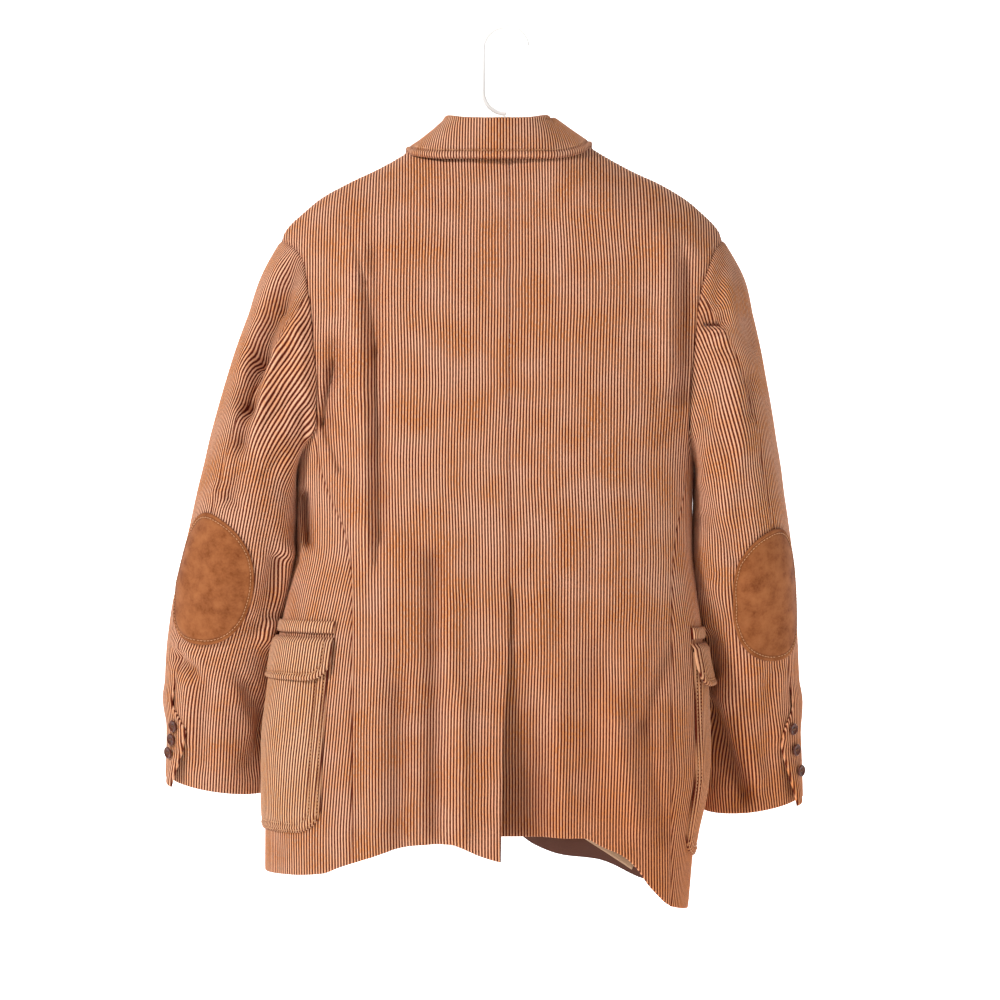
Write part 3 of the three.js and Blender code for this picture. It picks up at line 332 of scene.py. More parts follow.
def addMesh(name, points, faces, materials, kinds=None, grain=None, pressAndShade=None, sharp=75):
    key = np.round(points * 2000).astype(np.int64)
    _, first, back = np.unique(key, axis=0, return_index=True, return_inverse=True)
    faces = back.reshape(-1)[faces]
    keep = (faces[:, 0] != faces[:, 1]) & (faces[:, 1] != faces[:, 2]) & (faces[:, 2] != faces[:, 0])
    faces, points = faces[keep], points[first]
    a, b, c = (points[faces[:, k]] for k in range(3))
    if np.einsum("ij,ij->i", a, np.cross(b, c)).sum() < 0:
        faces = faces[:, ::-1]
    mesh = bpy.data.meshes.new(name)
    mesh.from_pydata((points * millimetre).tolist(), [], faces.tolist())
    for material in materials:
        mesh.materials.append(material)
    if kinds is not None:
        mesh.polygons.foreach_set("material_index", kinds[keep].astype(np.int32))
    if grain is not None:
        layer = mesh.uv_layers.new(name="grain")
        layer.data.foreach_set("uv", grain[first][faces.reshape(-1)].astype(np.float32).ravel())
    # per point from 0 to 1: the cloth darkens where it is pressed into seams and stitch lines, and the same attribute
    # carries painted shade in troughs, recesses, under the pocket bands and along raised edges
    if pressAndShade is not None:
        attribute = mesh.attributes.new("pressAndShade", "FLOAT", "POINT")
        attribute.data.foreach_set("value", pressAndShade[first].astype(np.float32))
    mesh.polygons.foreach_set("use_smooth", np.ones(len(faces), bool))
    mesh.set_sharp_from_angle(angle=math.radians(sharp))
    mesh.update()
    piece = bpy.data.objects.new(name, mesh)
    bpy.context.scene.collection.objects.link(piece)
    return piece


def addCloth(name, base, normals, top, wall, u, v, pressAndShade, materials, step=4, ring=False):
    rows, columns = u.shape
    coarse = np.unique(np.append(np.arange(0, columns, step), columns - 1))
    outer = base + normals * top[..., None]
    inner = base - normals * np.broadcast_to(wall, u.shape)[..., None]
    face, back, rim = shellFaces(rows, columns, coarse, ring)
    points = np.concatenate([outer.reshape(-1, 3), inner[:, coarse].reshape(-1, 3)])
    grain = np.stack([np.append(u.ravel(), u[:, coarse].ravel()), np.append(v.ravel(), v[:, coarse].ravel())], 1)
    pressedAndShaded = np.append(pressAndShade.ravel(), np.zeros(rows * len(coarse)))
    kinds = np.zeros(len(face) + len(back) + len(rim))
    if len(materials) > 1:
        kinds[len(face):len(face) + len(back)] = 1
    return addMesh(name, points, np.concatenate([face, back, rim]), materials, kinds, grain, pressedAndShaded)


def sweep(rings):  # triangles between closed rings of points
    ids = np.arange(rings.shape[0] * rings.shape[1]).reshape(rings.shape[:2])
    after = np.roll(ids, -1, 1)
    a, b, c, d = (np.ravel(k) for k in (ids[:-1], after[:-1], after[1:], ids[1:]))
    return rings.reshape(-1, 3), np.concatenate([np.stack([a, b, c], 1), np.stack([a, c, d], 1)])


def lathe(profile, origin, axis, sides):  # radius and height pairs turned round an axis, with its two cross axes
    one = unit(np.cross(axis, [0.3, 0.1, 0.95] if abs(axis[2]) < 0.9 else [1.0, 0.0, 0.0]))
    two = np.cross(axis, one)
    turn = np.linspace(0, 2 * np.pi, sides, endpoint=False)[:, None]
    circle = np.cos(turn) * one + np.sin(turn) * two
    rings = np.stack([origin + r * circle + h * axis for r, h in profile])
    return sweep(rings), one, two


def tube(path, radii, up, sides, along=None):  # a round rod along a path
    along = unit(np.gradient(path, axis=0)) if along is None else along
    one = unit(np.cross(along, up))
    two = np.cross(along, one)
    turn = np.linspace(0, 2 * np.pi, sides, endpoint=False)[None, :, None]
    ring = np.cos(turn) * one[:, None] + np.sin(turn) * two[:, None]
    return sweep(path[:, None] + np.asarray(radii)[:, None, None] * ring)


def joined(parts):  # closed parts of points, faces and a material number, as one mesh
    points, faces, kinds, start = [], [], [], 0
    for p, f, kind in parts:
        a, b, c = (p[f[:, k]] - p[0] for k in range(3))
        outward = np.einsum("ij,ij->i", a, np.cross(b, c)).sum() > 0
        points.append(p)
        faces.append((f if outward else f[:, ::-1]) + start)
        kinds.append(np.full(len(f), kind))
        start += len(p)
    return np.concatenate(points), np.concatenate(faces), np.concatenate(kinds)


stitch = {"pitch": 3.8, "reach": 2.9, "thick": 0.42, "stations": 7, "sides": 6}


def addStitches(name, path, normals, slot):  # short rounded threads along a line, each end drawn into the cloth
    total = np.append(0, np.cumsum(np.linalg.norm(np.diff(path, axis=0), axis=1)))
    middles = np.arange(stitch["pitch"] / 2, total[-1] - stitch["pitch"] / 2, stitch["pitch"])
    share = np.linspace(-1, 1, stitch["stations"])
    place = middles[:, None] + share * stitch["reach"] / 2

    def at(values, s):
        return np.stack([np.interp(s, total, values[:, k]) for k in range(3)], -1)

    along = unit(at(path, place + 0.3) - at(path, place - 0.3))
    up = unit(at(normals, place))
    aside = np.cross(up, along)
    centre = at(path, place) + up * (0.3 - 0.9 * share[:, None] ** 4)
    turn = np.linspace(0, 2 * np.pi, stitch["sides"], endpoint=False)[:, None]
    ring = np.cos(turn) * up[:, :, None] + np.sin(turn) * aside[:, :, None]
    radius = stitch["thick"] * np.sqrt(np.maximum(0, 1 - share ** 6))
    rings = centre[:, :, None] + radius[:, None, None] * ring
    points, faces, _ = joined([(*sweep(ring), 0) for ring in rings])
    piece = addMesh(name, points, faces, [seamThread], grain=points[:, [0, 2]])
    return dressed(piece, slot)


def dressed(piece, slot, *nodes):
    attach(piece, "root")
    if nodes:
        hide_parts(*nodes)
    return piece


# Materials


def colour(text):  # sRGB hex to linear
    parts = [int(text[k:k + 2], 16) / 255 for k in (1, 3, 5)]
    return tuple(c / 12.92 if c <= 0.04045 else ((c + 0.055) / 1.055) ** 2.4 for c in parts) + (1,)


def addNode(tree, kind, inputs=(), **settings):
    node = tree.nodes.new(kind)
    for key, value in settings.items():
        setattr(node, key, value)
    for key, value in dict(inputs).items():
        if isinstance(value, bpy.types.NodeSocket):
            tree.links.new(value, node.inputs[key])
        else:
            node.inputs[key].default_value = value
    return node


def newMaterial(name):
    material = bpy.data.materials.new(name)
    material.use_nodes = True
    tree = material.node_tree
    tree.nodes.clear()
    shader = addNode(tree, "ShaderNodeBsdfPrincipled")
    addNode(tree, "ShaderNodeOutputMaterial", {"Surface": shader.outputs[0]})
    return material, tree, shader


def mixColour(tree, share, a, b, blend="MIX"):
    node = addNode(tree, "ShaderNodeMix", data_type="RGBA", blend_type=blend)
    for socket, value in ((0, share), (6, a), (7, b)):
        if isinstance(value, bpy.types.NodeSocket):
            tree.links.new(value, node.inputs[socket])
        else:
            node.inputs[socket].default_value = value
    return node.outputs[2]


corduroyLook = {
    "ridgePink": "#ecb08e",
    "ridgeOrange": "#e09560",
    # a darker orange, painted shade low on the wearer's right
    "ridgeShadeOrange": "#dd8446",
    "ridgeLight": "#f9c6a2",
    "groove": "#561704",
    "napPatch": 38,  # mm between patches of brushed and lying pile
    "tuft": 3.5,  # mm, coarser than a real tuft so that it shows
    "pressShadeDark": 0.55,
    "roughness": 0.92,
    "sheen": 0.06,
}


def makeCorduroy(name, look):  # cotton cut pile, woven in ribs: matt, with light ridges over dark grooves
    material, tree, shader = newMaterial(name)
    uv = addNode(tree, "ShaderNodeUVMap", uv_map="grain").outputs[0]
    axes = addNode(tree, "ShaderNodeSeparateXYZ", {0: uv})
    part = addNode(tree, "ShaderNodeMath", {0: axes.outputs[0]}, operation="FRACT").outputs[0]
    centred = addNode(tree, "ShaderNodeMath", {0: part, 1: 2.0, 2: -1.0}, operation="MULTIPLY_ADD").outputs[0]
    edge = addNode(tree, "ShaderNodeMath", {0: centred}, operation="ABSOLUTE").outputs[0]
    place = addNode(tree, "ShaderNodeTexCoord").outputs["Object"]
    patch = addNode(tree, "ShaderNodeTexNoise", {"Vector": place, "Scale": 1000 / look["napPatch"], "Detail": 2.5})
    along = addNode(tree, "ShaderNodeMath", {0: axes.outputs[1], 1: 1 / look["tuft"]}, operation="MULTIPLY").outputs[0]
    strand = addNode(tree, "ShaderNodeCombineXYZ", {0: axes.outputs[0], 1: along}).outputs[0]
    tuft = addNode(tree, "ShaderNodeTexNoise", {"Vector": strand, "Scale": 1.0, "Detail": 2.0}, noise_dimensions="2D")
    warm = addNode(tree, "ShaderNodeMapRange", {0: patch.outputs[0], 1: 0.35, 2: 0.65}).outputs[0]
    bright = addNode(tree, "ShaderNodeMapRange", {0: tuft.outputs[0], 1: 0.4, 2: 0.75, 4: 0.75}).outputs[0]
    nap = mixColour(tree, warm, colour(look["ridgePink"]), colour(look["ridgeOrange"]))
    # painted shade: the ridges turn a deeper, darker orange towards the hem and the wearer's right, away from the key
    # light
    spot = addNode(tree, "ShaderNodeSeparateXYZ", {0: place})
    low = addNode(tree, "ShaderNodeMapRange", {0: spot.outputs[2], 1: -0.58, 2: -0.86, 4: 0.6}).outputs[0]
    aside = addNode(tree, "ShaderNodeMapRange", {0: spot.outputs[0], 1: 0.08, 2: -0.14}).outputs[0]
    lowRightShade = addNode(tree, "ShaderNodeMath", {0: low, 1: aside}, operation="MULTIPLY").outputs[0]
    nap = mixColour(tree, bright, nap, colour(look["ridgeLight"]))
    nap = mixColour(tree, lowRightShade, nap, colour(look["ridgeShadeOrange"]))
    wander = addNode(tree, "ShaderNodeMath", {0: tuft.outputs[0], 1: 0.35, 2: -0.17}, operation="MULTIPLY_ADD")
    worn = addNode(tree, "ShaderNodeMath", {0: edge, 1: wander.outputs[0]}, operation="ADD").outputs[0]
    groove = addNode(tree, "ShaderNodeMapRange", {0: worn, 1: 0.1, 2: 0.8}, interpolation_type="SMOOTHSTEP")
    base = mixColour(tree, groove.outputs[0], nap, colour(look["groove"]))
    # darkens towards the groove colour by the attribute: pressed seams and stitches, and painted shade
    pressedAndShaded = addNode(tree, "ShaderNodeAttribute", attribute_name="pressAndShade").outputs["Fac"]
    depth = addNode(tree, "ShaderNodeMath", {0: pressedAndShaded, 1: look["pressShadeDark"]}, operation="MULTIPLY").outputs[0]
    base = mixColour(tree, depth, base, colour(look["groove"]))
    tree.links.new(base, shader.inputs["Base Color"])
    shader.inputs["Roughness"].default_value = look["roughness"]
    shader.inputs["Sheen Weight"].default_value = look["sheen"]
    shader.inputs["Sheen Roughness"].default_value = 0.45
    shader.inputs["Specular IOR Level"].default_value = 0.15
    bump = addNode(tree, "ShaderNodeBump", {"Height": tuft.outputs[0], "Strength": 0.5, "Distance": 0.0006})
    tree.links.new(bump.outputs[0], shader.inputs["Normal"])
    return material


suedeLook = {"light": "#a3643a", "dark": "#713816", "mottle": 16, "grain": 2.2, "roughness": 0.95, "sheen": 0.12}


def makeSuede(name, look):  # sheepskin, napped on the flesh side: short soft fibres that lie in light and dark clouds
    material, tree, shader = newMaterial(name)
    place = addNode(tree, "ShaderNodeTexCoord").outputs["Object"]
    cloud = addNode(tree, "ShaderNodeTexNoise", {"Vector": place, "Scale": 1000 / look["mottle"], "Detail": 4.0,
                                                 "Roughness": 0.6})
    grain = addNode(tree, "ShaderNodeTexNoise", {"Vector": place, "Scale": 1000 / look["grain"], "Detail": 3.0})
    share = addNode(tree, "ShaderNodeMapRange", {0: cloud.outputs[0], 1: 0.3, 2: 0.7}).outputs[0]
    base = mixColour(tree, share, colour(look["dark"]), colour(look["light"]))
    speck = addNode(tree, "ShaderNodeMapRange", {0: grain.outputs[0], 1: 0.35, 2: 0.7, 4: 0.35}).outputs[0]
    base = mixColour(tree, speck, base, colour(look["light"]))
    # darkens by the attribute: at the stitch line, and along the rim as painted contact shade together with edge wear
    pressedAndShaded = addNode(tree, "ShaderNodeAttribute", attribute_name="pressAndShade").outputs["Fac"]
    depth = addNode(tree, "ShaderNodeMath", {0: pressedAndShaded, 1: 0.6}, operation="MULTIPLY").outputs[0]
    base = mixColour(tree, depth, base, colour("#5b2f17"))
    tree.links.new(base, shader.inputs["Base Color"])
    shader.inputs["Roughness"].default_value = look["roughness"]
    shader.inputs["Sheen Weight"].default_value = look["sheen"]
    shader.inputs["Specular IOR Level"].default_value = 0.1
    bump = addNode(tree, "ShaderNodeBump", {"Height": grain.outputs[0], "Strength": 0.4, "Distance": 0.0004})
    tree.links.new(bump.outputs[0], shader.inputs["Normal"])
    return material


def makeTwill(name, dark, light, pitch):  # viscose twill lining, with fine slanting lines and a soft shine
    material, tree, shader = newMaterial(name)
    uv = addNode(tree, "ShaderNodeUVMap", uv_map="grain").outputs[0]
    turned = addNode(tree, "ShaderNodeMapping", {0: uv, "Rotation": (0, 0, 0.8), "Scale": (3.175, 1, 1)})
    wave = addNode(tree, "ShaderNodeTexWave", {"Vector": turned.outputs[0], "Scale": 1 / pitch, "Distortion": 0.6})
    base = mixColour(tree, wave.outputs["Fac"], colour(dark), colour(light))
    tree.links.new(base, shader.inputs["Base Color"])
    shader.inputs["Roughness"].default_value = 0.5
    return material


def makeGloss(name, dark, light, cloud, roughness, coat):  # cast or moulded resin, smooth, with faint clouds
    material, tree, shader = newMaterial(name)
    place = addNode(tree, "ShaderNodeTexCoord").outputs["Object"]
    noise = addNode(tree, "ShaderNodeTexNoise", {"Vector": place, "Scale": 1000 / cloud, "Detail": 3.0})
    base = mixColour(tree, noise.outputs[0], colour(dark), colour(light))
    tree.links.new(base, shader.inputs["Base Color"])
    rough = addNode(tree, "ShaderNodeMapRange", {0: noise.outputs[0], 3: roughness * 0.8, 4: roughness * 1.25})
    tree.links.new(rough.outputs[0], shader.inputs["Roughness"])
    shader.inputs["Coat Weight"].default_value = coat
    shader.inputs["Specular IOR Level"].default_value = 0.3
    return material


brushedCorduroy = makeCorduroy("cottonCorduroyCutPile", corduroyLook)
pocketCorduroy = makeCorduroy("cottonCorduroyPockets", {**corduroyLook, "ridgePink": "#edb68f",
                                                        "ridgeOrange": "#e4a574", "ridgeLight": "#fbcfa8"})
nappedSuede = makeSuede("suedeNapped", suedeLook)
lining = makeTwill("liningTwillWoven", "#552a18", "#6f3b24", 2.2)
facingCloth = makeTwill("facingTwillWoven", "#a9805f", "#c79c78", 2.2)
resinButton = makeGloss("resinButtonCast", "#3a160b", "#6a3018", 5, 0.35, 0.05)
whitePlastic = makeGloss("polystyreneMoulded", "#ecebe8", "#f8f7f5", 30, 0.3, 0.2)
buttonThread = makeTwill("threadSpun", "#6b3d20", "#94603a", 0.8)
# near-black discs for the button holes: painted shade
holeShade = makeGloss("buttonHolePaintedShade", "#050302", "#120a07", 5, 0.5, 0.0)
seamThread = makeTwill("threadTopstitch", "#b77748", "#dba372", 0.8)
print("materials made")

# Woven panels of the torso: ribs at equal distances along the cloth, rows from the hem to the shoulder

panelRows = {"lower": 100, "upper": 15, "samples": 420}


def rowHeights(lower, upper):  # share of the way to the shoulder's start, and the drop below its ridge
    first = np.array(cloth["hemSteps"]) / 700
    share = np.concatenate([first, np.linspace(first[-1], 1, lower)[1:], np.ones(upper)])
    turn = np.append(np.zeros(len(first) + lower - 1), np.linspace(0, np.pi / 2, upper + 1)[1:])
    return share, torso["shoulderRound"] * (1 - np.sin(turn))


def edgeDrop(distance, radius=1.5):  # a free edge rounds over
    t = np.clip(distance / radius, 0, 1)
    return -radius * (1 - np.sqrt(1 - (1 - t) ** 2))


def crossing(line, edge, start, end):  # where each row's line meets an edge, by halving
    low, high = np.full(line(0.0).shape, float(start)), np.full(line(0.0).shape, float(end))
    for _ in range(26):
        middle = (low + high) / 2
        over = middle > edge(line(middle))
        high, low = np.where(over, middle, high), np.where(over, low, middle)
    return (low + high) / 2


def wovenGrid(line, arcs, samples, lowEdge, highEdge, perWale, along=1):  # place in each row, its rib and height
    wale = cloth["wale"]
    down = line(samples[None, :] + 0 * arcs) * along
    sway = cloth["sway"] * waviness(arcs, down, cloth["swayWide"], 51)
    arcs = arcs + sway + cloth["ripple"] * waviness(arcs, down, cloth["rippleWide"], 52)
    lowRib = np.array([np.interp(e, samples, s) for e, s in zip(lowEdge, arcs)]) / wale
    highRib = np.array([np.interp(e, samples, s) for e, s in zip(highEdge, arcs)]) / wale
    ribs = np.arange(math.floor(lowRib.min() * perWale), math.ceil(highRib.max() * perWale) + 1) / perWale
    u = np.clip(ribs[None, :], lowRib[:, None], highRib[:, None])
    a = np.stack([np.interp(ribs * wale, s, samples) for s in arcs])
    a = np.where(u <= lowRib[:, None], lowEdge[:, None], np.where(u >= highRib[:, None], highEdge[:, None], a))
    toSeam = np.minimum(u - lowRib[:, None], highRib[:, None] - u) * wale
    return a, u, line(a), toSeam


def arcLengths(points, samples, zero):  # distance along each row of points from one sample
    steps = np.linalg.norm(np.diff(points, axis=1), axis=-1)
    total = np.concatenate([np.zeros((len(points), 1)), np.cumsum(steps, 1)], 1)
    return total - np.array([np.interp(zero, samples, t) for t in total])[:, None]


def torsoArcs(heights, samples, front):  # distance along the cloth from the middle, at each height
    side = np.where(samples < torso["seamX"], right, left)
    width = halfWidth(side[None, :], heights[:, None])
    share = np.clip(np.abs(samples - torso["seamX"]) / width, 0, 0.995)
    deep = read(torsoRows, "z", heights, "front" if front else "back")[:, None]
    y = deep * (1 - share ** torso["squareness"]) ** (1 / torso["squareness"])
    steps = np.hypot(np.diff(samples)[None, :], np.diff(y, axis=1))
    total = np.concatenate([np.zeros((len(heights), 1)), np.cumsum(steps, 1)], 1)
    return total - np.array([np.interp(torso["seamX"], samples, t) for t in total])[:, None]


def armEdgeX(side, z, behind):  # x of a panel's outer edge: its side seam, and above the armpit the armhole
    corner = armholePoint(side, torso["sideTop"] if behind else 360 - torso["sideTop"])[2]
    f = np.clip((z - armhole["bottom"]) / (armhole["top"] - armhole["bottom"]), 0, 1)
    scoop = 0 if behind else armhole["scoop"] * 2 * np.sqrt(f * (1 - f))
    hole = side * (read(armholeRows, "z", z, sideName[side]) - scoop)
    return np.where(z > corner, hole, seamAt(side, behind, z)) - side * cloth["seamGap"] / 2


def panelNormals(surface, sign, a, z, da, dz, ridge):
    n = normalOf(surface, sign, a, np.minimum(z, ridge - 2), da, dz)
    slope = (shoulderZ(a + 1) - shoulderZ(a - 1)) / 2
    up = unit(np.stack([-slope, 0 * slope, 1 + 0 * slope], -1))
    near = smooth(1 - (ridge - z) / 5)[..., None]
    return unit(lerp(n, up, near))


def seamRelief(toSeam):
    return np.exp(-(toSeam / cloth["seamWide"]) ** 2)


def foldShade(fold):  # painted shade: the colour darkens in a deep trough, where shade falls
    return 0.42 * smooth(-fold / 10)


def ventDepth(side, x, z):
    if side == left:
        return 1.2 * smooth((-640 - z) / 40) + 9 * smooth((-660 - z) / 190) * smooth((48 - x) / 44)
    depth = 5.5 * smooth((-585 - z) / 35) + 12 * smooth((-660 - z) / 190)
    flat = 28 * smooth((-640 - z) / 200)
    return -depth * (1 - smooth((torso["seamX"] - flat - x) / 34))


def makeBack(side):
    def surface(x, z, fine=1):
        p = onTorso(np.minimum(x, 60) if side == right else x, z, True, fine)
        p[..., 1] += ventDepth(side, x, z)
        return p

    def innerEdge(z):
        closed = torso["seamX"] + side * cloth["seamGap"] / 2
        if side == left:
            return np.where(z > torso["ventTop"], closed, read(ventRows, "z", z, "edge"))
        open = torso["seamX"] - cloth["seamGap"] / 2
        return open + torso["underlap"] * smooth((torso["ventTop"] - 6 - z) / 22)

    def topLine(x):
        inNeck = np.abs(x - torso["neckX"]) < torso["neckHalf"]
        return np.where(inNeck, np.minimum(neckline(x), shoulderZ(x)), shoulderZ(x))

    share, drop = rowHeights(panelRows["lower"], panelRows["upper"])
    ridgeDrop = torso["shoulderRound"]

    def line(x):
        x = np.asarray(x, float)
        f, d = (share[:, None], drop[:, None]) if x.ndim == 2 else (share, drop)
        spot = np.where(side * (x - torso["seamX"]) > 0, x, torso["seamX"])
        hem = hemZ(side, angleAt(side, spot, -900, True))
        return lerp(hem, topLine(x) - ridgeDrop, f) + ridgeDrop - d

    outer = crossing(line, lambda z: armEdgeX(side, z, True), -260, 260)
    inner = crossing(line, innerEdge, -60, 60)
    samples = np.linspace(-262, 262, panelRows["samples"])
    arcs = torsoArcs(line(100.0 * side), samples, False)
    lowEdge, highEdge = (inner, outer) if side == left else (outer, inner)
    x, u, z, toSeam = wovenGrid(line, arcs, samples, lowEdge, highEdge, 4)
    base = surface(x, z)
    ridge = topLine(x)
    n = panelNormals(surface, -1, x, z, 1, 1.5, shoulderZ(x))
    atVent = smooth((torso["ventTop"] - z) / 10) * (side * (x - torso["seamX"]) < 60)
    seam = seamRelief(toSeam) * (1 - atVent)
    top = weave(u) * (1 - 0.6 * seam) - cloth["seamDip"] * seam + 0.5 * waviness(x, z, 34, 3 + side)
    top += edgeDrop(z - z[:1]) + np.where(atVent > 0.5, edgeDrop(toSeam), 0)
    base[..., 1] = np.where(ridge - z < 0.01, np.maximum(base[..., 1], cloth["seamGap"] / 2), base[..., 1])
    # seams darken, and deep troughs get painted shade
    shade = np.maximum(cloth["seamPress"] * seam, foldShade(foldHeight(backFolds + backCreases, x, z)))
    # painted shadow: the right panel darkens in the vent's recess, in the shadow of the left flap's edge
    if side == right:
        shade = np.maximum(shade, 0.04 * np.maximum(-ventDepth(side, x, z) - 2, 0))
    name = "back" + sideName[side].capitalize()
    piece = addCloth(name, base, n, top, cloth["wall"], u, z, shade, [brushedCorduroy, lining])
    dressed(piece, "corduroy", "back_" + sideName[side])


for side in (left, right):
    makeBack(side)
print("backs made")

# Side panels

sidePanel = {"rows": 76, "samples": 240, "inset": 1.6}


def makeSide(side):
    def surface(angle, z):
        return torsoPoint(side, angle, z, 1)

    turns = np.linspace(torso["sideTop"], 360 - torso["sideTop"], 91)
    topAngle, topZ = armholeAngle(side, turns)
    share, _ = rowHeights(sidePanel["rows"], 0)

    def line(angle):
        angle = np.asarray(angle, float)
        f = share[:, None] if angle.ndim == 2 else share
        return lerp(hemZ(side, angle), np.interp(angle, topAngle, topZ) - cloth["seamGap"] / 2, f)

    def edge(behind):
        sign = 1 if behind else -1

        def at(z):
            inset = sidePanel["inset"] * cloth["seamGap"] / 2 / halfWidth(side, z)
            return angleAt(side, seamAt(side, behind, z), z, behind) + sign * inset

        return at

    low = crossing(line, edge(True), 0.3, np.pi / 2)
    high = crossing(line, edge(False), np.pi / 2, 2.9)
    samples = np.linspace(0.3, 2.9, sidePanel["samples"])
    arcs = arcLengths(torsoPoint(side, samples[None, :], np.minimum(line(np.pi / 2), -430)[:, None]), samples, np.pi / 2)
    angle, u, z, toSeam = wovenGrid(line, arcs, samples, low, high, 4)
    base = surface(angle, z)
    n = normalOf(surface, -side, angle, np.minimum(z, -300), 0.01, 1)
    seam = seamRelief(toSeam)
    top = weave(u) * (1 - 0.6 * seam) - cloth["seamDip"] * seam + 0.5 * waviness(angle * 110, z, 36, 8 + side)
    top += edgeDrop(z - z[:1])
    # seams darken, and the troughs of the back's folds that reach the side panel get painted shade
    fold = foldHeight(backFolds + backCreases, base[..., 0], z) * smooth(base[..., 1] / 20)
    name = "side" + sideName[side].capitalize()
    piece = addCloth(name, base, n, top, cloth["wall"], u, z, np.maximum(cloth["seamPress"] * seam, foldShade(fold)), [brushedCorduroy, lining])
    dressed(piece, "corduroy", "side_" + sideName[side])


for side in (left, right):
    makeSide(side)
print("side panels made")

# Fronts, with their lapels

front = {"rows": 84, "upper": 12, "overlap": 5.2, "lapelLift": 3.2, "lapelRows": 44, "lapelColumns": 147,
         "facing": ((-94, -886), (-146, -918)), "facingHalf": 4.2}
lapelRows = table("along x z", (0, 2, -556), (0.25, 52, -470), (0.6, 96, -356), (0.9, 119, -276), (1, 122, -258))
gorge = {"x": 68, "z": -186}


def frontSurface(side):
    def surface(x, z):
        p = onTorso(x, z, False, 1)
        if side == right:
            over = smooth((46 - side * (x - torso["seamX"])) / 20)
            p[..., 1] += front["overlap"] * over * smooth((torso["breakHeight"] + 30 - z) / 30)
        return p

    return surface


def makeFront(side):
    surface = frontSurface(side)
    closing = torso["seamX"] - side * torso["frontLap"]
    share, drop = rowHeights(front["rows"], front["upper"])
    ridgeDrop = torso["shoulderRound"]

    def line(x):
        x = np.asarray(x, float)
        f, d = (share[:, None], drop[:, None]) if x.ndim == 2 else (share, drop)
        toEdge = np.maximum(side * (x - closing), 0)
        inside = side * (x - torso["seamX"]) > 0
        turn = np.where(inside, angleAt(side, np.where(inside, x, torso["seamX"]), -900, False), np.pi)
        short = np.clip(torso["cutaway"] - toEdge, 0, torso["cutaway"])
        rise = torso["cutaway"] - np.sqrt(torso["cutaway"] ** 2 - short ** 2)
        return lerp(hemZ(side, turn) + rise, shoulderZ(x) - ridgeDrop, f) + ridgeDrop - d

    def innerEdge(z):
        return lerp(closing, rollX(side, z), smooth((z - torso["breakHeight"] + 14) / 34))

    outer = crossing(line, lambda z: armEdgeX(side, z, False), -260, 260)
    inner = crossing(line, innerEdge, -100, 100)
    samples = np.linspace(-262, 262, panelRows["samples"])
    arcs = torsoArcs(line(100.0 * side), samples, True)
    lowEdge, highEdge = (inner, outer) if side == left else (outer, inner)
    x, u, z, toSeam = wovenGrid(line, arcs, samples, lowEdge, highEdge, 3)
    base = surface(x, z)
    n = panelNormals(surface, 1, x, z, 1, 1.5, shoulderZ(x))
    seam = seamRelief(toSeam) * (side * (x - closing) > 60)
    top = weave(u) * (1 - 0.6 * seam) - cloth["seamDip"] * seam + edgeDrop(z - z[:1])
    top += 0.5 * waviness(x, z, 38, 14 + side)
    base[..., 1] = np.where(shoulderZ(x) - z < 0.01, np.minimum(base[..., 1], -cloth["seamGap"] / 2), base[..., 1])
    name = "front" + sideName[side].capitalize()
    piece = addCloth(name, base, n, top, cloth["wall"], u, z, cloth["seamPress"] * seam, [brushedCorduroy, lining], 3)
    dressed(piece, "corduroy", "front_" + sideName[side])


def makeLapel(side):
    surface = frontSurface(side)
    along = np.linspace(0, 1, front["lapelRows"])[:, None]
    across = np.linspace(0, 1, front["lapelColumns"])[None, :]
    zIn = lerp(torso["breakHeight"] + 6, gorge["z"], along)
    xIn = rollX(side, zIn) + side * 1.5
    xOut = side * read(lapelRows, "along", along, "x") + torso["neckX"]
    zOut = read(lapelRows, "along", along, "z")
    x, z = lerp(xIn, xOut, across), lerp(zIn, zOut, across)
    n = normalOf(surface, 1, x, z, 1, 2)
    air = cloth["lift"] + front["lapelLift"] * np.sin(np.pi * np.minimum(1, 0.15 + across)) + 0 * x
    u = (x - xIn) / cloth["wale"]
    toEdge = np.abs(xOut - x)
    top = cloth["wall"] + weave(u) + edgeDrop(toEdge) + edgeDrop(z - z[:1]) - 0.7 * np.exp(-((toEdge - 7) / 1.2) ** 2)
    base = surface(x, z) + n * air[..., None]
    name = "lapel" + sideName[side].capitalize()
    pressAndShade = 0.7 * np.exp(-((toEdge - 7) / 1.4) ** 2)
    piece = addCloth(name, base, n, top, 0, u, z, pressAndShade, [brushedCorduroy])
    dressed(piece, "corduroy", "lapel_" + sideName[side])


def makeFacing():  # the strip inside the right front's hem, seen below the back
    start, end = np.array(front["facing"], float)
    aside = np.array([start[1] - end[1], end[0] - start[0]]) / np.linalg.norm(end - start) * front["facingHalf"]
    across = np.linspace(-1, 1, 9)
    spots = start + (end - start) * np.linspace(0, 1, 40)[:, None, None] + aside * across[:, None]
    x, z = spots[..., 0], spots[..., 1]
    n = normalOf(frontSurface(right), 1, x, z, 1, 1.5)
    base = frontSurface(right)(x, z) - n * (cloth["wall"] + 1)
    top = 1.2 - 0.8 * across ** 4 + 0 * x
    piece = addCloth("facingStrip", base, -n, top, 0, across + 0 * x, z, 0 * x, [facingCloth])
    dressed(piece, "trim")


makeFacing()
for side in (left, right):
    makeFront(side)
    makeLapel(side)
print("fronts and lapels made")

# Sleeves: the outer and inner edges of each section in the view from behind, its half depth and its middle's y

